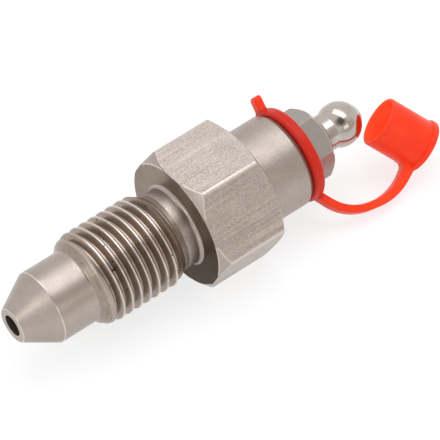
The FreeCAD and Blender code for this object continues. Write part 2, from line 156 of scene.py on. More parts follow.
class InsideSizes(bpy.types.PropertyGroup):
    """Sizes of the balls and springs."""
    check_ball: length("Check ball", "Diameter of the check ball", 6.0)
    check_wire: length("Check spring wire", "Wire diameter of the check spring", 0.5)
    check_coil: length("Check spring coil", "Mean coil diameter of the check spring", 4.6)
    check_lift: length("Check lift", "How far the check ball lifts", 1.5)
    nipple_ball: length("Nipple ball", "Diameter of the nipple's ball", 3.0)
    nipple_wire: length("Nipple spring wire", "Wire diameter of the nipple's spring", 0.35)
    nipple_coil: length("Nipple spring coil", "Mean coil diameter of the nipple's spring", 2.4)
    nipple_lift: length("Nipple lift", "How far the nipple's ball lifts", 1.0)
    turns: IntProperty(name="Turns", description="Turns of each spring", default=5, min=2)


class CapSizes(bpy.types.PropertyGroup):
    """Sizes of the dust cap with its ring, tab and strap."""
    ring: length("Ring", "Outer diameter of the ring", 14.5)
    ring_hole: length("Ring hole", "Diameter of the ring's hole", 10.0)
    ring_thickness: length("Ring thickness", "Thickness of the ring along the axis", 1.75)
    ring_round: length("Ring rounding", "Radius round the ring's edges", 0.5)
    tab_reach: length("Tab reach", "Distance from the axis to the tab's end", 9.45)
    tab_thickness: length("Tab thickness", "Thickness of the tab", 1.2)
    tab_width: length("Tab width", "Width of the tab", 1.9)
    tab_lean: turn("Tab lean", "How far the tab leans to the rear", 6.0)
    clock: turn("Strap clock", "Where the strap leaves, turned about the axis from the top", 130.0)
    strap_thickness: length("Strap thickness", "Thickness of the strap", 1.2)
    strap_width: length("Strap width", "Width of the strap", 2.2)
    strap_round: length("Strap rounding", "Radius along the strap's edges", 0.3)
    cap: length("Cap", "Outer diameter of the cap", 7.42)
    socket: length("Socket", "Inner diameter of the cap", 6.6)
    cap_length: length("Cap length", "Length of the cap", 7.85)
    cap_end: length("Cap end", "Thickness of the closed end", 0.95)
    flange: length("Flange", "Diameter of the flange at the closed end", 8.0)
    flange_thickness: length("Flange thickness", "Thickness of that flange", 0.9)


class Finishes(bpy.types.PropertyGroup):
    """Colours of the metal and the plastic."""
    steel: colour("Steel", "Satin nickel plate in the light", (0.465, 0.402, 0.360))
    steel_shade: colour("Steel shade", "The same plate where it is duller", (0.355, 0.298, 0.258))
    flat_steel: colour("Flat steel", "The plate on the hexagon's flats", (0.590, 0.520, 0.472))
    flat_shade: colour("Flat shade", "Its darker grains", (0.330, 0.278, 0.240))
    # Bright edges and crests: partly real wear, partly painted highlight
    worn: colour("Worn steel with painted highlight", "Edges and crests rubbed bright, partly as painted highlight", (0.66, 0.60, 0.56))
    # Brown patina in the roots of the thread, made darker as painted shade
    thread_root_brown_and_shade: colour("Thread root", "Brown metal in the thread's roots, darkened as painted shade", (0.31, 0.235, 0.18))
    # The front face is darker than the turned plate partly as real browner plate, partly as painted
    # reflection of the dark neck, thread and floor
    face: colour("Turned face", "Browner plate on the hexagon's front face, darkened as painted reflection", (0.255, 0.20, 0.155))
    # Painted shade at the foot of the front face; the thread's nicks use the same dark colour
    face_shade_and_nicks: colour("Shaded face and nicks", "Painted shade at the foot of the front face, and dark nicks", (0.078, 0.060, 0.047))
    nipple: colour("Nipple", "Bright nickel plate", (0.55, 0.50, 0.455))
    nipple_shade: colour("Nipple shade", "The same plate where it is duller", (0.40, 0.36, 0.325))
    flats_shade: colour("Nipple flats", "Dull plate on the nipple's hexagon", (0.33, 0.295, 0.27))
    wire: colour("Wire", "Spring wire", (0.42, 0.42, 0.44))
    plastic: colour("Plastic", "Moulded dust cap", (1.0, 0.060, 0.012))
    plastic_shade: colour("Plastic shade", "The same plastic where it is thicker", (0.90, 0.042, 0.009))
    # Painted shade on the ring and the strap's foot, where little light comes through the plastic
    plastic_painted_shade: colour("Plastic in painted shade", "The plastic where it lies on the metal, darkened as painted shade", (0.56, 0.020, 0.0065))
    # Painted glow inside the cap, standing in for light through its wall
    plastic_painted_glow: colour("Plastic inside", "The plastic with painted glow, in place of light through the cap's wall", (1.0, 0.17, 0.06))


class StageSettings(bpy.types.PropertyGroup):
    """Camera, floor and lights."""
    azimuth: turn("Azimuth", "Direction of the camera round the valve", -33.999)
    elevation: turn("Elevation", "Height of the camera over the valve", 47.135)
    roll: turn("Roll", "Turn of the camera about its own axis", -5.498)
    distance: FloatProperty(name="Distance", description="From the camera to the plane of the aim point",
                            default=0.501573, unit="LENGTH")
    lens: FloatProperty(name="Lens", description="Focal length in millimetres", default=298.648)
    aim_right: FloatProperty(name="Aim right", description="How far right of the middle the aim point lies",
                             default=-0.0083838, unit="LENGTH")
    aim_up: FloatProperty(name="Aim up", description="How far above the middle the aim point lies",
                          default=-0.0020910, unit="LENGTH")
    aim_x: length("Aim", "Point on the axis that the camera is aimed at", 25.0)
    floor: colour("Floor", "Pale floor", (0.86, 0.86, 0.86))


def rounded(corners, closed=True):
    """Points of an outline through (x, r) corners, with an arc where a corner has a radius as third value."""
    count = len(corners)

    def shape(i):
        """Corner, its radius, the ways to its neighbours, half its angle and the reach of its arc."""
        here = Vector(corners[i][:2])
        radius = corners[i][2] if len(corners[i]) > 2 else 0.0
        if radius == 0.0 or (not closed and i in (0, count - 1)):
            return here, 0.0, None, None, 0.0, 0.0
        back = Vector(corners[i - 1][:2]) - here
        ahead = Vector(corners[(i + 1) % count][:2]) - here
        half = back.angle(ahead) / 2
        return here, radius, back, ahead, half, radius / math.tan(half)

    points = []
    for i in range(count):
        here, radius, back, ahead, half, cut = shape(i)
        if radius == 0.0:
            points.append(here)
            continue
        free_back = back.length - cut - shape(i - 1)[-1]
        free_ahead = ahead.length - cut - shape((i + 1) % count)[-1]
        start = here + back.normalized() * cut
        end = here + ahead.normalized() * cut
        middle = here + (back.normalized() + ahead.normalized()).normalized() * (radius / math.sin(half))
        sweep = math.pi - 2 * half
        steps = max(2, math.ceil(sweep / ARC_STEP), math.ceil(sweep * radius / ARC_LENGTH))
        if free_back > 3 * HOLD:
            points.append(start + back.normalized() * HOLD)
        arm = start - middle
        sweep = math.copysign(sweep, arm.cross(end - middle))
        for k in range(steps + 1):
            points.append(middle + Matrix.Rotation(sweep * k / steps, 2) @ arm)
        if free_ahead > 3 * HOLD:
            points.append(end + ahead.normalized() * HOLD)
    return points


def wire_loop(bm, points, closed=True):
    """Vertices and edges along points, in the plane of the axis and +Z."""
    verts = [bm.verts.new((p.x, 0.0, p.y)) for p in points]
    edges = [bm.edges.new(pair) for pair in zip(verts, verts[1:])]
    if closed:
        edges.append(bm.edges.new((verts[-1], verts[0])))
    return verts + edges


def tidy(bm):
    """Weld doubles and point the faces outwards."""
    bmesh.ops.remove_doubles(bm, verts=bm.verts, dist=WELD)
    bmesh.ops.dissolve_degenerate(bm, edges=bm.edges, dist=WELD)
    bmesh.ops.recalc_face_normals(bm, faces=bm.faces)


def turned(points, closed=True, steps=TURN_STEPS):
    """Solid turned about the valve axis from the points of an outline."""
    bm = bmesh.new()
    geometry = wire_loop(bm, points, closed)
    bmesh.ops.spin(bm, geom=geometry, cent=ORIGIN, axis=X_AXIS, dvec=ORIGIN, angle=math.tau,
                   steps=steps, use_merge=True)
    tidy(bm)
    return bm


def coiled(points, pitch, turns, steps):
    """Closed outline wound along a right-hand helix about the valve axis, with its ends closed."""
    bm = bmesh.new()
    geometry = wire_loop(bm, points)
    count = round(turns * steps)
    bmesh.ops.spin(bm, geom=geometry, cent=ORIGIN, axis=X_AXIS, dvec=X_AXIS * (pitch / steps),
                   angle=math.tau * count / steps, steps=count)
    bmesh.ops.holes_fill(bm, edges=[e for e in bm.edges if e.is_boundary], sides=0)
    tidy(bm)
    return bm


def hexagon_bar(across_flats, start, end, angle, edge_round):
    """Hexagonal bar along the axis, a corner towards -Y when angle is 0, its long edges rounded."""
    bm = bmesh.new()
    upright = Matrix.Rotation(math.radians(90), 4, "Y")
    stand = Matrix.Translation(X_AXIS * start) @ Matrix.Rotation(-angle, 4, "X") @ upright
    bmesh.ops.create_circle(bm, cap_ends=True, segments=6, radius=across_flats / math.sqrt(3), matrix=stand)
    grown = bmesh.ops.extrude_face_region(bm, geom=bm.faces[:])["geom"]
    bmesh.ops.translate(bm, vec=X_AXIS * (end - start),
                        verts=[v for v in grown if isinstance(v, bmesh.types.BMVert)])
    tidy(bm)
    if edge_round:
        long_edges = [e for e in bm.edges if abs(e.verts[0].co.x - e.verts[1].co.x) > HOLD]
        bmesh.ops.bevel(bm, geom=long_edges, offset=edge_round, segments=3, profile=0.5,
                        affect="EDGES", material=-1)
    return bm


def plate(points, width):
    """Flat piece with an outline in the plane of the axis and +Z, its thickness across that plane."""
    bm = bmesh.new()
    verts = [bm.verts.new((p.x, -width / 2, p.y)) for p in points]
    bm.faces.new(verts)
    grown = bmesh.ops.extrude_face_region(bm, geom=bm.faces[:])["geom"]
    bmesh.ops.translate(bm, vec=Y_AXIS * width,
                        verts=[v for v in grown if isinstance(v, bmesh.types.BMVert)])
    tidy(bm)
    return bm


def as_mesh(bm, name):
    mesh = bpy.data.meshes.new(name)
    bm.to_mesh(mesh)
    bm.free()
    return mesh


def combined(first, second, operation, name):
    """Mesh of the first bmesh joined with, cut by or kept inside the second one."""
    host = bpy.data.objects.new(name, as_mesh(first, name))
    tool = bpy.data.objects.new(name + "_tool", as_mesh(second, name + "_tool"))
    for part in (host, tool):
        bpy.context.scene.collection.objects.link(part)
    modifier = host.modifiers.new(operation, "BOOLEAN")
    modifier.operation = operation
    modifier.solver = "EXACT"
    modifier.object = tool
    bpy.context.view_layer.update()
    result = bpy.data.meshes.new_from_object(host.evaluated_get(bpy.context.evaluated_depsgraph_get()))
    for part in (host, tool):
        mesh = part.data
        bpy.data.objects.remove(part)
        bpy.data.meshes.remove(mesh)
    bm = bmesh.new()
    bm.from_mesh(result)
    bpy.data.meshes.remove(result)
    if not bm.faces:
        raise RuntimeError(name + ": nothing is left after " + operation)
    return bm


def round_edges(bm, wanted, offset, slot):
    """Round the sharp edges whose middle passes the test, and give the rounding this material slot."""
    edges = []
    for edge in bm.edges:
        middle = (edge.verts[0].co + edge.verts[1].co) / 2
        if edge.is_manifold and edge.calc_face_angle(0.0) > SHARP_ANGLE and wanted(middle):
            edges.append(edge)
    bmesh.ops.bevel(bm, geom=edges, offset=offset, segments=3, profile=0.5, affect="EDGES",
                    material=slot, clamp_overlap=False)


def finished(bm, name, body, materials, nodes, sharp=SHARP_ANGLE):
    """Object at the origin that rides on a body and stands for the named solids."""
    for face in bm.faces:
        face.smooth = face.calc_area() < FLAT_AREA
    for edge in bm.edges:
        edge.smooth = not edge.is_manifold or edge.calc_face_angle(0.0) < sharp
    piece = bpy.data.objects.new(name, as_mesh(bm, name))
    bpy.context.scene.collection.objects.link(piece)
    for material in materials:
        piece.data.materials.append(material)
    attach(piece, body)
    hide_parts(*nodes)
    return piece


def add(bm, other):
    """Copy another bmesh into this one."""
    mesh = as_mesh(other, "join")
    bm.from_mesh(mesh)
    bpy.data.meshes.remove(mesh)


def distance_from_axis(point):
    return math.hypot(point.y, point.z)


def from_corner(point):
    """Angle round the axis from the point to the nearest corner of the body's hexagon."""
    sixth = math.radians(60)
    angle = math.atan2(point.z, point.y) % sixth
    return min(angle, sixth - angle)


def body_stations(size):
    """Where each part of the valve starts along the axis."""
    at = SimpleNamespace()
    at.cone_base = (size.spigot - size.tip) / 2 / math.tan(size.nose_angle / 2)
    at.shoulder = at.cone_base + size.spigot_length
    at.lead_in = at.shoulder - size.lead_in_early
    at.thread_end = at.shoulder + size.thread_length
    at.hexagon_front = at.thread_end + size.neck_length
    at.hexagon_rear = at.hexagon_front + size.hexagon_length
    at.boss_end = at.hexagon_rear + size.boss_length
    return at


def nipple_stations(size, boss_end):
    """Where each part of the nipple starts along the axis."""
    at = SimpleNamespace()
    at.shank_end = boss_end - size.shank_engaged
    at.base = boss_end + size.shank_exposed
    at.side_end = at.base + size.side
    at.dome_end = at.side_end + size.dome
    at.tip = at.base + size.total
    return at


# Insides that the solids have too
CHAMBER_R = 3.5 * MM
CHAMBER_FRONT = 24.0 * MM
DRILL_POINT = math.radians(118)
PORT_FIT = 0.02 * MM
PORT_RELIEF = 0.9 * MM
PORT_CHAMFER = 0.4 * MM
SEAT_SLOPE = math.tan(math.radians(45))
SEAT_MOUTH_R = 2.5 * MM
CRIMP_R = 1.15 * MM
CRIMP_DEPTH = 0.35 * MM
NIPPLE_BORE_R = 1.65 * MM
INLET_R = 1.0 * MM
INLET_DEPTH = 0.4 * MM
BALL_GAP = 0.005 * MM
SPRING_GAP = 0.01 * MM

# Small forms of the body
BAR_OVERLAP = 1.0 * MM
BOSS_CHAMFER = 0.5 * MM
BOSS_CHAMFER_RUN = 0.8 * MM
RUN_OUT_ROUND = 1.0 * MM

# The thread's ridge, its foot sunk into the body, and the rounding of its envelope
FLANK_ANGLE = math.radians(30)
CREST_ROUND = 0.05 * MM
FOOT_SINK = 0.14 * MM
ENVELOPE_SINK = 0.3 * MM
FIRST_CREST_ROUND = 0.8 * MM
FULL_CREST_ROUND = 2.0 * MM
LAST_CREST_ROUND = 1.2 * MM

# Material slots of the body
TURNED, MILLED, THREAD, FRONT_FACE, WORN_AND_HIGHLIT, RUBBED_AND_HIGHLIT, BOSS = range(7)

# How its faces are told apart: angles from a corner, then shares of the hexagon's inner radius and of
# a face's normal, then the reach of an edge in its radii and the depth of the boss's outer side
CORNER_REACH = math.radians(17)
RUBBED_REACH = math.radians(4)
NEAR_FLATS = 0.97
FACES_SIDEWAYS = 0.05
FACES_ENDWAYS = 0.9
FACES_TIP = 0.95
FACES_OUT = 0.75
CONE_EDGE_REACH = 0.7
BOSS_SKIN = 1.0 * MM


def body_blank(size, at, nipple):
    """Everything on the body that a lathe makes, thread apart."""
    bore_r = size.outlet / 2
    root_r = size.thread / 2 - size.thread_depth
    barrel_r = size.hexagon / math.sqrt(3) + BAR_OVERLAP
    front = (barrel_r - size.hexagon_front / 2) * math.tan(size.front_slope)
    rear = (barrel_r - size.hexagon_rear / 2) * math.tan(size.rear_slope)
    port_r = nipple.shank / 2 + PORT_FIT
    port_floor = at.boss_end - nipple.shank_engaged - PORT_RELIEF
    chamber_floor = CHAMBER_FRONT - (CHAMBER_R - bore_r) / math.tan(DRILL_POINT / 2)
    fine = size.edge / 2
    return turned(rounded([
        (0, bore_r, size.edge),
        (0, size.tip / 2, size.tip_round),
        (at.cone_base, size.spigot / 2, 3 * size.edge),
        (at.lead_in, size.spigot / 2, size.lead_in_round),
        (at.lead_in + (root_r - size.spigot / 2) / math.tan(size.lead_in), root_r, 2 * size.edge),
        (at.thread_end - size.run_out / 2, root_r, RUN_OUT_ROUND),
        (at.thread_end + size.run_out / 4, size.neck / 2, RUN_OUT_ROUND),
        (at.hexagon_front, size.neck / 2, size.neck_fillet),
        (at.hexagon_front, size.hexagon_front / 2),
        (at.hexagon_front + front, barrel_r),
        (at.hexagon_rear - rear, barrel_r),
        (at.hexagon_rear, size.hexagon_rear / 2),
        (at.hexagon_rear, size.boss / 2, size.edge),
        (at.boss_end - BOSS_CHAMFER_RUN, size.boss / 2, size.edge),
        (at.boss_end, size.boss / 2 - BOSS_CHAMFER, fine),
        (at.boss_end, port_r + PORT_CHAMFER, fine),
        (at.boss_end - PORT_CHAMFER, port_r),
        (port_floor, port_r),
        (port_floor, CHAMBER_R),
        (CHAMBER_FRONT, CHAMBER_R),
        (chamber_floor, bore_r),
    ]))


def thread_ridge(size, at):
    """The helical ridge of the thread, cut to its lead-in and run-out cones."""
    crest_r = size.thread / 2
    root_r = crest_r - size.thread_depth
    foot_r = root_r - FOOT_SINK
    half_crest = size.thread_crest / 2
    half_foot = half_crest + (crest_r - foot_r) * math.tan(FLANK_ANGLE)
    start = size.thread_start - size.pitch * math.ceil((size.thread_start - at.shoulder) / size.pitch + 1)
    turns = (at.thread_end - start) / size.pitch + 1
    outline = rounded([
        (start - half_foot, foot_r),
        (start - half_crest, crest_r, CREST_ROUND),
        (start + half_crest, crest_r, CREST_ROUND),
        (start + half_foot, foot_r),
    ])
    ridge = coiled(outline, size.pitch, turns, THREAD_STEPS)
    slope = math.tan(size.lead_in)
    foot_x = at.lead_in + (root_r - size.spigot / 2) / slope
    envelope = turned(rounded([
        (foot_x, foot_r - ENVELOPE_SINK),
        (foot_x, root_r),
        (at.lead_in + (size.first_crest - size.spigot / 2) / slope, size.first_crest,
         FIRST_CREST_ROUND),
        (size.full_crest, crest_r, FULL_CREST_ROUND),
        (at.thread_end - size.run_out, crest_r, LAST_CREST_ROUND),
        (at.thread_end, size.neck / 2),
        (at.thread_end, foot_r - ENVELOPE_SINK),
    ]))
    return combined(ridge, envelope, "INTERSECT", "thread")


class VALVE_OT_body(bpy.types.Operator):
    """Build the hex-bodied valve with its real thread"""
    bl_idname = "valve.body"
    bl_label = "Valve body"

    def execute(self, context):
        size = context.scene.valve_body
        at = body_stations(size)
        blank = body_blank(size, at, context.scene.valve_nipple)
        bar = hexagon_bar(size.hexagon, -BAR_OVERLAP, at.boss_end + BAR_OVERLAP, 0.0, size.worn_edge)
        body = combined(blank, bar, "INTERSECT", "body")

        def on_hexagon(point):
            inside = at.hexagon_front - HOLD < point.x < at.hexagon_rear + HOLD
            return inside and distance_from_axis(point) > size.hexagon / 2 * NEAR_FLATS

        def on_turned_corner(point):
            return on_hexagon(point) and from_corner(point) < CORNER_REACH

        for face in body.faces:
            face.material_index = self.slot_of(face, size, at, on_hexagon)
        # The bright plate on these roundings is partly painted highlight
        round_edges(body, on_turned_corner, size.fine_edge, WORN_AND_HIGHLIT)
        ridge = thread_ridge(size, at)
        for face in ridge.faces:
            middle = face.calc_center_median()
            out = Vector((0, middle.y, middle.z)).normalized()
            face.material_index = THREAD
            # Crests of the run-out take the bright edge plate, partly painted highlight
            if face.normal.dot(out) > FACES_OUT:
                if middle.x < size.full_crest:
                    face.material_index = TURNED
                elif middle.x > at.thread_end - size.run_out:
                    face.material_index = WORN_AND_HIGHLIT
        add(body, ridge)
        finish = context.scene.valve_finish
        finished(body, "body_shell", "valve",
                 [turned_steel(finish), milled_steel(finish), thread_steel(finish, size), face_steel(finish),
                  worn_and_highlit_steel(finish), rubbed_and_highlit_steel(finish), boss_steel(finish)], ["valve_body"])
        return {"FINISHED"}

    def slot_of(self, face, size, at, on_hexagon):
        """Material slot of a face, by its place and the way it faces."""
        middle = face.calc_center_median()
        along = abs(face.normal.x)
        if on_hexagon(middle) and along < FACES_SIDEWAYS:
            return RUBBED_AND_HIGHLIT if from_corner(middle) < RUBBED_REACH else MILLED
        if at.lead_in < middle.x < at.thread_end and distance_from_axis(middle) > size.spigot / 2:
            return THREAD
        if abs(middle.x - at.hexagon_front) < HOLD and along > FACES_ENDWAYS:
            return FRONT_FACE
        if middle.x > at.hexagon_rear + HOLD and distance_from_axis(middle) > size.boss / 2 - BOSS_SKIN:
            return BOSS
        on_cone_edge = abs(middle.x - at.cone_base) < CONE_EDGE_REACH * size.edge
        on_tip_edge = middle.x < size.tip_round / 3 and along < FACES_TIP
        if distance_from_axis(middle) > size.outlet / 2 + HOLD and (on_cone_edge or on_tip_edge):
            return WORN_AND_HIGHLIT
        return TURNED


# Small forms of the nipple
SHANK_CHAMFER = 0.5 * MM
NIPPLE_CHAMFER = 0.35 * MM
DOME_CORNER_RISE = 0.62 * MM
DOME_CORNER_IN = 0.75 * MM
NECK_ROUND = 0.25 * MM
TIP_ROUND = 0.1 * MM
INLET_ROUND = 0.06 * MM

# Slots of the nipple's flats and edges, beside its bright plate, and the share of the width across flats
# from which a face belongs to the hexagon
NIPPLE_FLATS, NIPPLE_WORN_AND_HIGHLIT = 1, 2
NEAR_NIPPLE_FLATS = 0.44


class VALVE_OT_nipple(bpy.types.Operator):
    """Build the grease nipple"""
    bl_idname = "valve.nipple"
    bl_label = "Grease nipple"

    def execute(self, context):
        size = context.scene.valve_nipple
        at = nipple_stations(size, body_stations(context.scene.valve_body).boss_end)
        corner_r = size.corners / 2
        crimp = at.shank_end + (SEAT_MOUTH_R - CRIMP_R) / SEAT_SLOPE
        inlet = at.tip - INLET_DEPTH
        blank = turned(rounded([
            (at.shank_end, SEAT_MOUTH_R),
            (at.shank_end, size.shank / 2 - SHANK_CHAMFER),
            (at.shank_end + SHANK_CHAMFER, size.shank / 2),
            (at.base, size.shank / 2),
            (at.base, corner_r - NIPPLE_CHAMFER, size.edge),
            (at.base + NIPPLE_CHAMFER, corner_r, size.edge),
            (at.side_end, corner_r),
            (at.side_end + DOME_CORNER_RISE, corner_r - DOME_CORNER_IN, size.dome_round),
            (at.dome_end, size.neck / 2, NECK_ROUND),
            *self.ball_head(size, at),
            (at.tip, size.tip / 2, TIP_ROUND),
            (at.tip, INLET_R, INLET_ROUND),
            (inlet, INLET_R),
            (inlet - (NIPPLE_BORE_R - INLET_R) / SEAT_SLOPE, NIPPLE_BORE_R),
            (crimp + CRIMP_DEPTH, NIPPLE_BORE_R),
            (crimp + CRIMP_DEPTH, CRIMP_R),
            (crimp, CRIMP_R),
        ]), steps=SMALL_TURN_STEPS)
        bar = hexagon_bar(size.hexagon, at.shank_end - BAR_OVERLAP, at.tip + BAR_OVERLAP,
                          size.hexagon_turn, 0.0)
        nipple = combined(blank, bar, "INTERSECT", "nipple")

        def on_hexagon(point):
            inside = at.base - HOLD < point.x < at.dome_end
            return inside and distance_from_axis(point) > size.hexagon * NEAR_NIPPLE_FLATS

        # The bright plate on the nipple's rounded edges is partly painted highlight
        round_edges(nipple, on_hexagon, size.edge, NIPPLE_WORN_AND_HIGHLIT)
        for face in nipple.faces:
            if on_hexagon(face.calc_center_median()) and abs(face.normal.x) < FACES_SIDEWAYS:
                face.material_index = NIPPLE_FLATS
        finish = context.scene.valve_finish
        finished(nipple, "nipple_shell", "valve",
                 [bright_plate(finish), plated_flats(finish), worn_and_highlit_steel(finish)], ["grease_nipple"],
                 sharp=FACET_ANGLE)
        return {"FINISHED"}

    def ball_head(self, size, at):
        """Arc of the ball-shaped head, from the neck to the step below the flat tip."""
        middle = at.tip - size.head_middle
        first = math.pi - math.asin(size.neck / size.head)
        last = math.acos((size.head_middle - size.tip_edge) / (size.head / 2))
        steps = math.ceil((first - last) / ARC_STEP)
        angles = [first + (last - first) * k / steps for k in range(steps + 1)]
        return [(middle + size.head / 2 * math.cos(a), size.head / 2 * math.sin(a)) for a in angles]


def seated_ball(ball, mouth_x, mouth_r):
    """Middle of a ball that closes a conical seat which narrows towards the tip."""
    reach = ball / 2 + BALL_GAP
    half = math.atan(SEAT_SLOPE)
    touch = mouth_x + (mouth_r - reach * math.cos(half)) / SEAT_SLOPE
    return touch - reach * math.sin(half)


class VALVE_OT_balls(bpy.types.Operator):
    """Build the check ball and the nipple's ball"""
    bl_idname = "valve.balls"
    bl_label = "Balls"

    def execute(self, context):
        size = context.scene.valve_inside
        at = nipple_stations(context.scene.valve_nipple, body_stations(context.scene.valve_body).boss_end)
        balls = [
            ("check_ball_polished", size.check_ball, at.shank_end, SEAT_MOUTH_R,
             "check_valve_ball", "check_ball"),
            ("inlet_ball_polished", size.nipple_ball, at.tip - INLET_DEPTH, INLET_R,
             "nipple_inlet_ball", "nipple_ball"),
        ]
        for name, ball, mouth_x, mouth_r, body, node in balls:
            bm = bmesh.new()
            middle = X_AXIS * seated_ball(ball, mouth_x, mouth_r)
            bmesh.ops.create_icosphere(bm, subdivisions=BALL_FINENESS, radius=ball / 2,
                                       matrix=Matrix.Translation(middle))
            finished(bm, name, body, [polished_steel(context.scene.valve_finish)], [node])
        return {"FINISHED"}


def ground_spring(wire, coil, turns, start, end):
    """Round-wire compression spring with its ends ground flat."""
    pitch = (end - start) / turns
    section = []
    for i in range(WIRE_SIDES):
        angle = math.tau * i / WIRE_SIDES
        x = start - pitch / 2 + wire / 2 * math.cos(angle)
        section.append(Vector((x, coil / 2 + wire / 2 * math.sin(angle))))
    bm = coiled(section, pitch, turns + 1, WIRE_STEPS)
    for place, outwards in ((start, -1), (end, 1)):
        bmesh.ops.bisect_plane(bm, geom=bm.verts[:] + bm.edges[:] + bm.faces[:], dist=WELD,
                               plane_co=X_AXIS * place, plane_no=X_AXIS * outwards, clear_outer=True)
        bmesh.ops.holes_fill(bm, edges=[e for e in bm.edges if e.is_boundary], sides=0)
    bmesh.ops.recalc_face_normals(bm, faces=bm.faces)
    return bm


class VALVE_OT_springs(bpy.types.Operator):
    """Build the check spring and the nipple's spring"""
    bl_idname = "valve.springs"
    bl_label = "Springs"

    def execute(self, context):
        size = context.scene.valve_inside
        at = nipple_stations(context.scene.valve_nipple, body_stations(context.scene.valve_body).boss_end)
        coil_r = (size.check_coil + size.check_wire) / 2
        check_start = CHAMBER_FRONT - (CHAMBER_R - coil_r) / math.tan(DRILL_POINT / 2) + SPRING_GAP
        crimp = at.shank_end + (SEAT_MOUTH_R - CRIMP_R) / SEAT_SLOPE
        nipple_start = crimp + CRIMP_DEPTH + SPRING_GAP
        springs = [
            ("check_spring_wound", "check_spring", size.check_wire, size.check_coil, check_start,
             seated_ball(size.check_ball, at.shank_end, SEAT_MOUTH_R), size.check_ball,
             "check_ball_lift", size.check_lift),
            ("nipple_spring_wound", "nipple_spring", size.nipple_wire, size.nipple_coil, nipple_start,
             seated_ball(size.nipple_ball, at.tip - INLET_DEPTH, INLET_R), size.nipple_ball,
             "nipple_ball_lift", size.nipple_lift),
        ]
        for name, node, wire, coil, start, ball_x, ball, joint, lift in springs:
            end = ball_x - math.sqrt((ball / 2) ** 2 - ((coil - wire) / 2) ** 2) - SPRING_GAP
            spring = ground_spring(wire, coil, size.turns, start, end)
            material = spring_wire(context.scene.valve_finish)
            piece = finished(spring, name, "valve", [material], [node])
            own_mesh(piece)
        return {"FINISHED"}


# The strap's path in its own plane, its two ends, and how the cap and the ring sit
STRAP_FOOT_DEPTH = 1.5 * MM
STRAP_ROOT_DEPTH = 0.9 * MM
STRAP_LEAN = math.radians(62)
STRAP_RUN = 3.05 * MM
STRAP_MID_HEADING = math.radians(10)
STRAP_MID_RUN = 0.6 * MM
CAP_HEADING = math.radians(-33.3)
STRAP_BEND_NEAR_R = 7.0 * MM
STRAP_BEND_FAR_R = 9.0 * MM
STRAP_END_RUN = 2.0 * MM
STRAP_ROOT_FILLET = 0.9 * MM
STRAP_SET_IN = 1.3 * MM
STRAP_GRIP = 0.6 * MM
STRAP_FLARE = 0.55 * MM
STRAP_SINK = 0.06 * MM
STRAP_MARGIN = 0.02 * MM
FILLET_SLACK = 0.01 * MM
CAP_TWIST = math.radians(6)
RING_GAP = 0.05 * MM

# The tab: where its foot and flare lie under the ring's rim, and its rounding
TAB_FOOT_DEPTH = 0.9 * MM
TAB_RIM_DEPTH = 0.1 * MM
TAB_FLARE = 1.1 * MM
TAB_FLARE_DEPTH = 0.15 * MM
TAB_ROOT_ROUND = 0.7 * MM
TAB_END_ROUND = 0.6 * MM
TAB_EDGE = 0.25 * MM

# Rounding of the cap, and its material slots
CAP_OUTSIDE, CAP_INSIDE = range(2)
END_ROUND = 0.3 * MM
FLANGE_ROUND = 0.2 * MM
FLANGE_FOOT_ROUND = 0.06 * MM
MOUTH_ROUND = 0.16 * MM
SOCKET_ROUND = 0.4 * MM


def heading(angle):
    """Unit vector in the strap's plane, at this angle to the valve axis."""
    return Vector((math.cos(angle), math.sin(angle)))


def beside(point, angle, distance):
    """Point this far to the left of a line through point with this heading."""
    return point + heading(angle + math.pi / 2) * distance


def meet(p, p_angle, q, q_angle):
    """Where the line through p meets the line through q."""
    step = heading(p_angle)
    normal = heading(q_angle + math.pi / 2)
    return p + step * ((q - p).dot(normal) / step.dot(normal))


def strap_stations(size, ring_front):
    """The two bend corners and the cap end of the strap's middle line."""
    near_tangent = STRAP_BEND_NEAR_R * math.tan((STRAP_LEAN - STRAP_MID_HEADING) / 2)
    far_tangent = STRAP_BEND_FAR_R * math.tan((STRAP_MID_HEADING - CAP_HEADING) / 2)
    foot = Vector((ring_front + size.ring_thickness / 2, size.ring / 2 - STRAP_FOOT_DEPTH))
    near = foot + heading(STRAP_LEAN) * (STRAP_RUN + near_tangent)
    far = near + heading(STRAP_MID_HEADING) * (near_tangent + STRAP_MID_RUN + far_tangent)
    end = far + heading(CAP_HEADING) * (far_tangent + STRAP_END_RUN)
    return near, far, end


def strap_grip(size):
    """How deep the strap's end lies in the cap's wall, so that its corners reach the round wall."""
    wall_r = size.cap / 2
    return STRAP_GRIP - wall_r + math.sqrt(wall_r ** 2 - (size.strap_width / 2) ** 2)


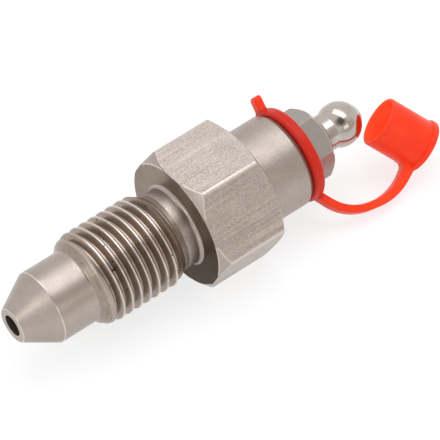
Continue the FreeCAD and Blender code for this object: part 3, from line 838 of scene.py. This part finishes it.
def strap_outline(size, ring_front):
    """Outline of the strap, with its fillets at the ring and at the cap's wall."""
    near, far, end = strap_stations(size, ring_front)
    half = size.strap_thickness / 2
    inner_near = beside(near, STRAP_LEAN, -half)
    inner_far = beside(far, CAP_HEADING, -half)
    outer_near = beside(near, STRAP_LEAN, half)
    outer_far = beside(far, CAP_HEADING, half)
    inner_mid = beside(near, STRAP_MID_HEADING, -half)
    outer_mid = beside(near, STRAP_MID_HEADING, half)
    ring_rear = ring_front + size.ring_thickness
    ring_corner = Vector((ring_rear - STRAP_SINK, size.ring / 2 - STRAP_ROOT_DEPTH))
    ring_foot = ring_corner - Vector((0, STRAP_ROOT_FILLET / 2))
    grip = strap_grip(size)
    wall_point = end - heading(CAP_HEADING) * grip
    along_wall = CAP_HEADING - math.pi / 2
    wall_corner = meet(inner_far, CAP_HEADING, wall_point, along_wall)
    wall_foot = wall_corner + heading(along_wall) * STRAP_ROOT_FILLET
    corners = [
        (meet(outer_near, STRAP_LEAN, ring_foot, 0.0), 0.0),
        (meet(outer_near, STRAP_LEAN, outer_mid, STRAP_MID_HEADING), STRAP_BEND_NEAR_R + half),
        (meet(outer_far, CAP_HEADING, outer_mid, STRAP_MID_HEADING), STRAP_BEND_FAR_R + half),
        (beside(end, CAP_HEADING, half + STRAP_FLARE), 0.0),
        (wall_foot + heading(CAP_HEADING) * grip, 0.0),
        (wall_foot, 0.0),
        (wall_corner, STRAP_ROOT_FILLET - FILLET_SLACK),
        (meet(inner_far, CAP_HEADING, inner_mid, STRAP_MID_HEADING), STRAP_BEND_FAR_R - half),
        (meet(inner_near, STRAP_LEAN, inner_mid, STRAP_MID_HEADING), STRAP_BEND_NEAR_R - half),
        (ring_corner, STRAP_ROOT_FILLET),
        (ring_foot, 0.0),
    ]
    return rounded([(point.x, point.y, radius) for point, radius in corners])


def round_rims(bm, offset, segments, buried):
    """Round a plate's long edges, apart from those whose ends are both buried."""
    rims = [e for e in bm.edges if abs(e.verts[0].co.y - e.verts[1].co.y) < HOLD
            and not all(buried(vert) for vert in e.verts)]
    bmesh.ops.bevel(bm, geom=rims, offset=offset, segments=segments, profile=0.5, affect="EDGES",
                    material=-1, clamp_overlap=False)


def strap(size, ring_front):
    """Flat strap bent in one plane, its long edges rounded where they can be seen."""
    bm = plate(strap_outline(size, ring_front), size.strap_width)
    end = strap_stations(size, ring_front)[-1]

    def buried(vert):
        """Whether a point lies in the ring or in the cap's wall."""
        in_ring = vert.co.z < size.ring / 2 - STRAP_ROOT_DEPTH + STRAP_MARGIN
        towards_cap = (Vector((vert.co.x, vert.co.z)) - end).dot(heading(CAP_HEADING))
        return in_ring or towards_cap > -strap_grip(size) - STRAP_MARGIN

    round_rims(bm, size.strap_round, 4, buried)
    return bm


def tab(size, ring_front):
    """Pull tab opposite the strap, flared into the ring and leaning to the rear."""
    side = size.tab_width / 2
    root_r = size.ring / 2 - TAB_FOOT_DEPTH
    rim_r = size.ring / 2 - TAB_RIM_DEPTH
    flare = side + TAB_FLARE
    flare_r = rim_r - TAB_FLARE_DEPTH
    outline = rounded([
        (-flare, -root_r),
        (-flare, -flare_r),
        (-side, -rim_r, TAB_ROOT_ROUND),
        (-side, -size.tab_reach, TAB_END_ROUND),
        (side, -size.tab_reach, TAB_END_ROUND),
        (side, -rim_r, TAB_ROOT_ROUND),
        (flare, -flare_r),
        (flare, -root_r),
    ])
    bm = plate(outline, size.tab_thickness)
    round_rims(bm, TAB_EDGE, 3, lambda vert: False)
    lean = Matrix.Identity(4)
    lean[0][2] = -math.tan(size.tab_lean)
    front = ring_front + size.tab_thickness / 2 - math.tan(size.tab_lean) * root_r
    place = Matrix.Translation(X_AXIS * front)
    face_forward = Matrix.Rotation(math.radians(90), 4, "Z")
    bmesh.ops.transform(bm, matrix=place @ lean @ face_forward, verts=bm.verts)
    return bm


def hanging_cap(size, ring_front):
    """The cap with its flange and socket, placed on the strap's end."""
    bm = turned(rounded([
        (0, 0),
        (0, size.flange / 2, END_ROUND),
        (size.flange_thickness, size.flange / 2, FLANGE_ROUND),
        (size.flange_thickness, size.cap / 2, FLANGE_FOOT_ROUND),
        (size.cap_length, size.cap / 2, MOUTH_ROUND),
        (size.cap_length, size.socket / 2, MOUTH_ROUND),
        (size.cap_end, size.socket / 2, SOCKET_ROUND),
        (size.cap_end, 0),
    ], closed=False), closed=False, steps=SMALL_TURN_STEPS)
    for face in bm.faces:
        middle = face.calc_center_median()
        inside = distance_from_axis(middle) < size.socket / 2 + HOLD and middle.x > size.cap_end - HOLD
        face.material_index = CAP_INSIDE if inside else CAP_OUTSIDE
    end = strap_stations(size, ring_front)[-1]
    mouth = heading(CAP_HEADING - math.pi / 2)
    centre = end + heading(CAP_HEADING) * (size.cap / 2 - STRAP_GRIP) - mouth * STRAP_SET_IN
    along = Vector((math.cos(CAP_HEADING), 0, math.sin(CAP_HEADING)))
    place = (Matrix.Translation((centre.x, 0, centre.y)) @ Matrix.Rotation(CAP_TWIST, 4, along)
             @ Matrix.Rotation(math.pi / 2 - CAP_HEADING, 4, "Y"))
    bmesh.ops.transform(bm, matrix=place, verts=bm.verts)
    return bm


class VALVE_OT_dust_cap(bpy.types.Operator):
    """Build the dust cap with its ring, tab and strap"""
    bl_idname = "valve.dust_cap"
    bl_label = "Dust cap"

    def execute(self, context):
        size = context.scene.valve_cap
        boss_end = body_stations(context.scene.valve_body).boss_end
        ring_front = boss_end + RING_GAP
        rear = ring_front + size.ring_thickness
        moulding = turned(rounded([
            (ring_front, size.ring_hole / 2, size.ring_round),
            (ring_front, size.ring / 2, size.ring_round),
            (rear, size.ring / 2, size.ring_round),
            (rear, size.ring_hole / 2, size.ring_round),
        ]))
        moulding = combined(moulding, strap(size, ring_front), "UNION", "ring_strap")
        moulding = combined(moulding, tab(size, ring_front), "UNION", "ring_tab")
        moulding = combined(moulding, hanging_cap(size, ring_front), "UNION", "cap_strap")
        bmesh.ops.rotate(moulding, cent=ORIGIN, matrix=Matrix.Rotation(size.clock, 3, "X"),
                         verts=moulding.verts)
        finish = context.scene.valve_finish
        materials = [red_plastic(finish, size, boss_end + size.ring_thickness), painted_glow_plastic(finish)]
        finished(moulding, "dust_cap_moulding", "cap", materials, ["dust_cap"])
        return {"FINISHED"}


# Painted shade on the hexagon's front face, in place of the dark reflections it shows low down: the side it
# is on, and how far down it starts and is full
FACE_SHADE_SIDE = (0, -0.79, -0.61)
FACE_SHADE_START = 1.5 * MM
FACE_SHADE_FULL = 6.5 * MM

# Shares of the thread's depth at which its plate is all brown, with painted shade in the roots, and all
# bright, with painted highlight on the crests
ROOT_SHADE_DEPTH = 0.20
CREST_HIGHLIGHT_DEPTH = 0.03

# The stage
WHITE = (1, 1, 1, 1)
FLOOR_REACH = 3.0
FLOOR_SEEN = (0.34, 0.34, 0.34)
FLOOR_GLOW = 0.71
ROOM_STRENGTH = 0.80
SENSOR_WIDTH = 36.0
CLIP = (0.01, 20.0)

# Darker sides of the room: direction from the valve, where the shade starts and is full, and its colour
ROOM_SHADES = (
    ((0.30, -0.95, 0.10), (0.55, 0.95), (0.70, 0.64, 0.59)),
    ((-0.12, -0.50, 0.86), (0.87, 0.985), (0.16, 0.135, 0.115)),
)

# Lamps: place from the point they are turned to, width and height, watts and colour
LIGHT_SHIFT = 8 * MM
LIGHTS = {
    "top_softbox": ((0.15, 0.06, 0.56), (0.66, 0.26), 1.2, (0.89, 0.92, 1.0)),
    "left_softbox": ((-0.42, -0.10, 0.34), (0.22, 0.30), 0.30, (1.0, 1.0, 1.0)),
    "front_fill": ((0.06, -0.52, 0.22), (0.24, 0.16), 0.13, (1.0, 1.0, 1.0)),
}


def add_node(tree, kind, feeds=None, **settings):
    """New shader node with its settings. Feeds give each input its constant or the socket it is linked to."""
    node = tree.nodes.new("ShaderNode" + kind)
    for label, value in settings.items():
        setattr(node, label, value)
    for label, value in (feeds or {}).items():
        if isinstance(value, bpy.types.NodeSocket):
            tree.links.new(value, node.inputs[label])
        else:
            node.inputs[label].default_value = value
    return node


def mixed(tree, share, first, second):
    """Colour that runs from the first to the second as the share goes from 0 to 1."""
    return add_node(tree, "Mix", {0: share, 6: first, 7: second}, data_type="RGBA").outputs[2]


def ramped(tree, value, start, full, course="SMOOTHSTEP"):
    """Value that goes from 0 at start to 1 at full."""
    feeds = {"Value": value, "From Min": start, "From Max": full}
    return add_node(tree, "MapRange", feeds, interpolation_type=course).outputs["Result"]


def rgba(value):
    return (*value, 1.0)


def new_group(name, inputs, outputs):
    """Shader node group with its sockets and its two end nodes, or with None where it is built already."""
    known = bpy.data.node_groups.get(name)
    if known:
        return known, None
    group = bpy.data.node_groups.new(name, "ShaderNodeTree")
    for label, kind, value in inputs:
        socket = group.interface.new_socket(name=label, in_out="INPUT", socket_type=kind)
        if value is not None:
            socket.default_value = value
    for label, kind in outputs:
        group.interface.new_socket(name=label, in_out="OUTPUT", socket_type=kind)
    ends = SimpleNamespace(given=group.nodes.new("NodeGroupInput").outputs,
                           result=group.nodes.new("NodeGroupOutput").inputs)
    return group, ends


def grain_group():
    """Fine grain, stretched along the valve axis, from 0 to 1."""
    group, ends = new_group("Grain", [
        ("Vector", "NodeSocketVector", None),
        ("Scale", "NodeSocketFloat", 3000.0),
        ("Stretch", "NodeSocketFloat", 1.0),
        ("Softness", "NodeSocketFloat", 0.5),
    ], [("Mask", "NodeSocketFloat")])
    if ends is None:
        return group
    squeeze = add_node(group, "CombineXYZ", {"X": ends.given["Stretch"], "Y": 1.0, "Z": 1.0})
    stretched = add_node(group, "VectorMath", {0: ends.given["Vector"], 1: squeeze.outputs[0]},
                         operation="MULTIPLY")
    noise = add_node(group, "TexNoise", {"Detail": 4.0, "Vector": stretched.outputs[0],
                                         "Scale": ends.given["Scale"],
                                         "Roughness": ends.given["Softness"]})
    spread = ramped(group, noise.outputs[0], 0.3, 0.7, "LINEAR")
    group.links.new(spread, ends.result["Mask"])
    return group


def coat_group():
    """Colour that runs between two colours by a mask, with a roughness that follows it."""
    group, ends = new_group("Worn plate", [
        ("Mask", "NodeSocketFloat", 0.5),
        ("Dull", "NodeSocketColor", (0.5, 0.5, 0.5, 1)),
        ("Clean", "NodeSocketColor", (0.7, 0.7, 0.7, 1)),
        ("Dull roughness", "NodeSocketFloat", 0.45),
        ("Clean roughness", "NodeSocketFloat", 0.3),
    ], [("Color", "NodeSocketColor"), ("Roughness", "NodeSocketFloat")])
    if ends is None:
        return group
    tint = mixed(group, ends.given["Mask"], ends.given["Dull"], ends.given["Clean"])
    level = add_node(group, "MapRange", {"Value": ends.given["Mask"],
                                         "To Min": ends.given["Dull roughness"],
                                         "To Max": ends.given["Clean roughness"]})
    group.links.new(tint, ends.result["Color"])
    group.links.new(level.outputs["Result"], ends.result["Roughness"])
    return group


def new_material(name, metallic):
    """Material with its node tree, its shader and the place of the shaded point."""
    material = bpy.data.materials.new(name)
    material.use_nodes = True
    tree = material.node_tree
    shader = tree.nodes["Principled BSDF"]
    shader.inputs["Metallic"].default_value = metallic
    return material, tree, shader, add_node(tree, "TexCoord").outputs["Object"]


def grain(tree, where, scale, stretch=1.0, softness=0.5):
    """Mask with a grain of this scale, long along the axis where the stretch is small."""
    feeds = {"Vector": where, "Scale": scale, "Stretch": stretch, "Softness": softness}
    return add_node(tree, "Group", feeds, node_tree=grain_group()).outputs["Mask"]


def coat(tree, shader, mask, dull, clean, roughness):
    """Give the shader a colour and a roughness that follow the mask, and return the colour."""
    node = add_node(tree, "Group", {
        "Mask": mask, "Dull": rgba(dull), "Clean": rgba(clean),
        "Dull roughness": roughness[0], "Clean roughness": roughness[1],
    }, node_tree=coat_group())
    tree.links.new(node.outputs["Color"], shader.inputs["Base Color"])
    tree.links.new(node.outputs["Roughness"], shader.inputs["Roughness"])
    return node.outputs["Color"]


def raise_relief(tree, shader, mask, height):
    """Let a mask stand proud of the surface as a bump."""
    bump = add_node(tree, "Bump", {"Strength": 1.0, "Distance": height, "Height": mask})
    tree.links.new(bump.outputs["Normal"], shader.inputs["Normal"])


def scratched(tree, where, mask, amount):
    """Long streaks along the valve axis, in patches, added to a mask."""
    streak = grain(tree, where, 3400.0, stretch=0.012, softness=0.4)
    patch = grain(tree, where, 240.0, stretch=0.6)
    centred = add_node(tree, "Math", {0: streak, 1: 0.45}, operation="SUBTRACT")
    here = add_node(tree, "Math", {0: centred.outputs[0], 1: patch}, operation="MULTIPLY")
    return add_node(tree, "Math", {0: here.outputs[0], 1: amount, 2: mask}, operation="MULTIPLY_ADD",
                    use_clamp=True).outputs[0]


def axis_distance(tree, where):
    """Distance of the shaded point from the valve axis."""
    across = add_node(tree, "VectorMath", {0: where, 1: (0, 1, 1)}, operation="MULTIPLY")
    return add_node(tree, "VectorMath", {0: across.outputs[0]}, operation="LENGTH").outputs["Value"]


def metal(name, dull, clean, roughness, relief, cloud, scale, share, stretch=1.0, streak=0.0):
    """Plated metal. Cloud and scale size its clouds and grain, and share says how much the grain shows."""
    material, tree, shader, where = new_material(name, 1.0)
    clouds = grain(tree, where, cloud, softness=0.55)
    fine = grain(tree, where, scale, stretch=stretch, softness=0.6)
    mask = add_node(tree, "Mix", {0: share, 2: clouds, 3: fine}, data_type="FLOAT").outputs[0]
    if streak:
        mask = scratched(tree, where, mask, streak)
    tint = coat(tree, shader, mask, dull, clean, roughness)
    raise_relief(tree, shader, fine, relief)
    return SimpleNamespace(material=material, tree=tree, shader=shader, where=where, tint=tint)


def turned_steel(finish):
    """Satin plate on the turned nose, spigot and neck."""
    return metal("Turned steel", finish.steel_shade, finish.steel, roughness=(0.40, 0.30),
                 relief=0.003 * MM, cloud=260.0, scale=3800.0, share=0.5).material


def boss_steel(finish):
    """The same plate on the rear boss, a little duller and more grained."""
    return metal("Boss steel", finish.steel_shade, finish.steel, roughness=(0.45, 0.36),
                 relief=0.006 * MM, cloud=320.0, scale=4200.0, share=0.6, stretch=0.8).material


def milled_steel(finish):
    """Grained plate on the hexagon's flats, with faint streaks along the axis."""
    return metal("Milled steel", finish.flat_shade, finish.flat_steel, roughness=(0.50, 0.36),
                 relief=0.014 * MM, cloud=420.0, scale=4600.0, share=0.85, stretch=0.9, streak=0.7).material


def worn_and_highlit_steel(finish):
    """Edges that handling and machining left bright, made brighter still as painted highlight."""
    return metal("Worn steel with painted highlight", finish.flat_steel, finish.worn, roughness=(0.36, 0.26),
                 relief=0.003 * MM, cloud=500.0, scale=2400.0, share=0.6, stretch=0.3).material


def rubbed_and_highlit_steel(finish):
    """Long edges of the hexagon, rubbed bright but still grained, their brightness partly painted highlight.
    """
    return metal("Rubbed steel with painted highlight", finish.flat_steel, finish.worn, roughness=(0.50, 0.42),
                 relief=0.006 * MM, cloud=420.0, scale=4200.0, share=0.7, stretch=0.5).material


def bright_plate(finish):
    """Bright nickel on the nipple's dome, neck and head."""
    return metal("Bright plate", finish.nipple_shade, finish.nipple, roughness=(0.22, 0.12),
                 relief=0.0006 * MM, cloud=600.0, scale=3000.0, share=0.3).material


def plated_flats(finish):
    """Duller nickel on the nipple's small hexagon."""
    return metal("Plated flats", finish.flats_shade, finish.nipple_shade, roughness=(0.34, 0.24),
                 relief=0.003 * MM, cloud=900.0, scale=5200.0, share=0.55, stretch=0.5).material


def polished_steel(finish):
    """Polished balls."""
    return metal("Polished steel", finish.nipple_shade, finish.nipple, roughness=(0.14, 0.07),
                 relief=0.0003 * MM, cloud=700.0, scale=5000.0, share=0.3).material


def spring_wire(finish):
    """Drawn wire."""
    return metal("Spring wire", finish.wire, finish.steel_shade, roughness=(0.42, 0.3),
                 relief=0.001 * MM, cloud=900.0, scale=6000.0, share=0.5, stretch=0.4).material


def face_steel(finish):
    """Browner turned plate on the hexagon's front face, darkened further as painted reflection, with painted
    shade darkest low down.
    """
    face = metal("Face steel", finish.face, finish.steel_shade, roughness=(0.34, 0.28),
                 relief=0.002 * MM, cloud=300.0, scale=3600.0, share=0.4)
    # Painted shade: the face goes darker towards its foot
    under = add_node(face.tree, "VectorMath", {0: face.where, 1: FACE_SHADE_SIDE}, operation="DOT_PRODUCT")
    low = ramped(face.tree, under.outputs["Value"], FACE_SHADE_START, FACE_SHADE_FULL)
    shaded_face = mixed(face.tree, low, face.tint, rgba(finish.face_shade_and_nicks))
    face.tree.links.new(shaded_face, face.shader.inputs["Base Color"])
    # A specular tint below white dims the face's reflections, like its darkened colour
    face.shader.inputs["Specular Tint"].default_value = (0.68, 0.66, 0.64, 1)
    return face.material


def thread_steel(finish, size):
    """Plate that is light on the thread's crests, partly as painted highlight, and brown in its roots, partly
    patina and partly painted shade, with a few dark nicks.
    """
    thread = metal("Thread steel", finish.flat_steel, finish.worn, roughness=(0.34, 0.26),
                   relief=0.002 * MM, cloud=500.0, scale=4000.0, share=0.4)
    tree = thread.tree
    crest_r = size.thread / 2
    # Painted highlight on the crests and painted shade in the roots, by the distance from the axis
    height = ramped(tree, axis_distance(tree, thread.where), crest_r - size.thread_depth * ROOT_SHADE_DEPTH,
                    crest_r - size.thread_depth * CREST_HIGHLIGHT_DEPTH)
    flank = grain(tree, thread.where, 900.0, softness=0.6)
    brown = mixed(tree, flank, rgba(finish.thread_root_brown_and_shade), rgba(finish.steel_shade))
    nick = ramped(tree, grain(tree, thread.where, 1500.0, stretch=0.7, softness=0.45), 0.95, 1.0, "LINEAR")
    nicked = mixed(tree, nick, mixed(tree, height, brown, thread.tint), rgba(finish.face_shade_and_nicks))
    tree.links.new(nicked, thread.shader.inputs["Base Color"])
    return thread.material


def moulded(name, dull, clean):
    """Plastic that light sinks into, with the place of the shaded point and the colour."""
    material, tree, shader, where = new_material(name, 0.0)
    tint = coat(tree, shader, grain(tree, where, 220.0), dull, clean, (0.40, 0.32))
    raise_relief(tree, shader, grain(tree, where, 2600.0), 0.003 * MM)
    constants = {
        "Subsurface Weight": 0.6,
        "Subsurface Radius": (1.0, 0.30, 0.15),
        "Subsurface Scale": 2.5 * MM,
        "IOR": 1.48,
        "Specular IOR Level": 0.22,
    }
    for label, value in constants.items():
        shader.inputs[label].default_value = value
    return SimpleNamespace(material=material, tree=tree, shader=shader, where=where, tint=tint)


def red_plastic(finish, size, ring_end):
    """Glossy moulded plastic, with painted shade: a darker red on the ring and the foot of the strap, which
    lie on the metal.
    """
    red = moulded("Red plastic", finish.plastic_shade, finish.plastic)
    # Painted shade: darker red over the ring and the strap's foot, fading out beyond the ring
    place = add_node(red.tree, "SeparateXYZ", {0: red.where})
    near = ramped(red.tree, place.outputs["X"], ring_end + 1.2 * MM, ring_end - 0.4 * MM)
    inner = ramped(red.tree, axis_distance(red.tree, red.where), size.ring / 2 + 0.7 * MM,
                   size.ring / 2 - 0.1 * MM)
    shade_on_metal = add_node(red.tree, "Math", {0: near, 1: inner}, operation="MULTIPLY").outputs[0]
    shaded_red = mixed(red.tree, shade_on_metal, red.tint, rgba(finish.plastic_painted_shade))
    red.tree.links.new(shaded_red, red.shader.inputs["Base Color"])
    return red.material


def painted_glow_plastic(finish):
    """The same plastic inside the cap, with painted glow: a brighter colour and a faint emission stand in for
    daylight coming through the thin wall.
    """
    lit = moulded("Plastic with painted glow", finish.plastic, finish.plastic_painted_glow)
    # Painted glow: the inside gives off a faint light of its own
    lit.shader.inputs["Emission Color"].default_value = rgba(finish.plastic_painted_glow)
    lit.shader.inputs["Emission Strength"].default_value = 0.16
    return lit.material


def white_to_the_camera(tree, lit, seen):
    """Mix of what lights the valve and what the camera, mirrors and glass see in its stead."""
    path = add_node(tree, "LightPath").outputs
    sight = path["Is Camera Ray"]
    for ray in ("Is Glossy Ray", "Is Transmission Ray"):
        sight = add_node(tree, "Math", {0: sight, 1: path[ray]}, operation="MAXIMUM").outputs[0]
    return add_node(tree, "MixShader", {0: sight, 1: lit, 2: seen}).outputs[0]


class VALVE_OT_stage(bpy.types.Operator):
    """Lay the floor and place the camera, lights and background"""
    bl_idname = "valve.stage"
    bl_label = "Stage"

    def execute(self, context):
        scene = context.scene
        setting = scene.valve_stage
        self.lay_floor(scene, setting)
        self.place_camera(scene, setting)
        self.paint_world(scene)
        for name, light in LIGHTS.items():
            self.hang_light(scene, name, X_AXIS * (setting.aim_x + LIGHT_SHIFT), *light)
        scene.view_settings.view_transform = "Standard"
        return {"FINISHED"}

    def lay_floor(self, scene, setting):
        bm = bmesh.new()
        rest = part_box("valve_body")[0][2]
        bmesh.ops.create_grid(bm, x_segments=1, y_segments=1, size=FLOOR_REACH,
                              matrix=Matrix.Translation((0, 0, rest)))
        floor = bpy.data.objects.new("floor", as_mesh(bm, "floor"))
        scene.collection.objects.link(floor)
        material = bpy.data.materials.new("Pale floor")
        material.use_nodes = True
        tree = material.node_tree
        tree.nodes.clear()
        paint = add_node(tree, "BsdfDiffuse", {"Color": rgba(setting.floor)})
        seen_paint = add_node(tree, "BsdfDiffuse", {"Color": rgba(FLOOR_SEEN)})
        glow = add_node(tree, "Emission", {"Strength": FLOOR_GLOW})
        both = add_node(tree, "AddShader", {0: seen_paint.outputs[0], 1: glow.outputs[0]})
        mix = white_to_the_camera(tree, paint.outputs[0], both.outputs[0])
        add_node(tree, "OutputMaterial", {"Surface": mix})
        floor.data.materials.append(material)

    def place_camera(self, scene, setting):
        az, el, roll = setting.azimuth, setting.elevation, setting.roll
        back = Vector((math.sin(az) * math.cos(el), -math.cos(az) * math.cos(el), math.sin(el)))
        right = Vector((math.cos(az), math.sin(az), 0))
        up = back.cross(right)
        rolled_right = right * math.cos(roll) + up * math.sin(roll)
        rolled_up = up * math.cos(roll) - right * math.sin(roll)
        aim = X_AXIS * setting.aim_x
        place = aim + back * setting.distance - rolled_right * setting.aim_right - rolled_up * setting.aim_up
        data = bpy.data.cameras.new("photo_camera")
        data.sensor_fit = "HORIZONTAL"
        data.sensor_width = SENSOR_WIDTH
        data.lens = setting.lens
        data.clip_start, data.clip_end = CLIP
        camera = bpy.data.objects.new("photo_camera", data)
        scene.collection.objects.link(camera)
        turned_to = Matrix((rolled_right, rolled_up, back)).transposed().to_4x4()
        camera.matrix_world = Matrix.Translation(place) @ turned_to
        scene.camera = camera

    def paint_world(self, scene):
        world = scene.world or bpy.data.worlds.new("studio")
        scene.world = world
        world.use_nodes = True
        tree = world.node_tree
        tree.nodes.clear()
        room = add_node(tree, "Background", {"Color": WHITE, "Strength": ROOM_STRENGTH})
        seen_room = add_node(tree, "Background", {"Color": self.dark_side(tree)})
        mix = white_to_the_camera(tree, room.outputs[0], seen_room.outputs[0])
        add_node(tree, "OutputWorld", {"Surface": mix})

    def dark_side(self, tree):
        """White of the room, which mirrors see darker and warmer towards the photographer's side."""
        where = add_node(tree, "TexCoord").outputs["Generated"]
        to_camera = add_node(tree, "LightPath").outputs["Is Camera Ray"]
        shade = WHITE
        for direction, reach, tint in ROOM_SHADES:
            facing = add_node(tree, "VectorMath", {0: where, 1: Vector(direction).normalized()},
                              operation="DOT_PRODUCT")
            fall = ramped(tree, facing.outputs["Value"], *reach)
            mirrored = add_node(tree, "Math", {0: fall, 1: to_camera}, operation="SUBTRACT", use_clamp=True)
            shade = mixed(tree, mirrored.outputs[0], shade, rgba(tint))
        return shade

    def hang_light(self, scene, name, aim, offset, size, watts, tone):
        data = bpy.data.lights.new(name, "AREA")
        data.shape = "RECTANGLE"
        data.size, data.size_y = size
        data.energy = watts
        data.color = tone
        light = bpy.data.objects.new(name, data)
        scene.collection.objects.link(light)
        light.location = aim + Vector(offset)
        light.rotation_euler = (-Vector(offset)).to_track_quat("-Z", "Y").to_euler()


class VALVE_PT_build(bpy.types.Panel):
    """Sizes and buttons of the grease valve"""
    bl_idname = "VALVE_PT_build"
    bl_label = "Grease valve"
    bl_space_type = "VIEW_3D"
    bl_region_type = "UI"
    bl_category = "Grease valve"

    def draw(self, context):
        scene = context.scene
        rows = ((scene.valve_body, ("valve.body",)), (scene.valve_nipple, ("valve.nipple",)),
                (scene.valve_inside, ("valve.balls", "valve.springs")),
                (scene.valve_cap, ("valve.dust_cap",)), (scene.valve_stage, ("valve.stage",)),
                (scene.valve_finish, ()))
        for group, operators in rows:
            box = self.layout.box()
            for key in group.__annotations__:
                box.prop(group, key)
            for operator in operators:
                box.operator(operator)


GROUPS = {
    "valve_body": BodySizes,
    "valve_nipple": NippleSizes,
    "valve_inside": InsideSizes,
    "valve_cap": CapSizes,
    "valve_finish": Finishes,
    "valve_stage": StageSettings,
}
OPERATORS = (VALVE_OT_body, VALVE_OT_nipple, VALVE_OT_balls, VALVE_OT_springs, VALVE_OT_dust_cap,
             VALVE_OT_stage)


def register():
    for made in (*GROUPS.values(), *OPERATORS, VALVE_PT_build):
        bpy.utils.register_class(made)
    for name, group in GROUPS.items():
        setattr(bpy.types.Scene, name, PointerProperty(type=group))


def unregister():
    for name in GROUPS:
        delattr(bpy.types.Scene, name)
    for made in reversed((*GROUPS.values(), *OPERATORS, VALVE_PT_build)):
        bpy.utils.unregister_class(made)


def main():
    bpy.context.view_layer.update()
    register()
    bpy.ops.valve.body()
    bpy.ops.valve.nipple()
    bpy.ops.valve.balls()
    bpy.ops.valve.springs()
    bpy.ops.valve.dust_cap()
    bpy.ops.valve.stage()


if __name__ == "__main__":
    main()
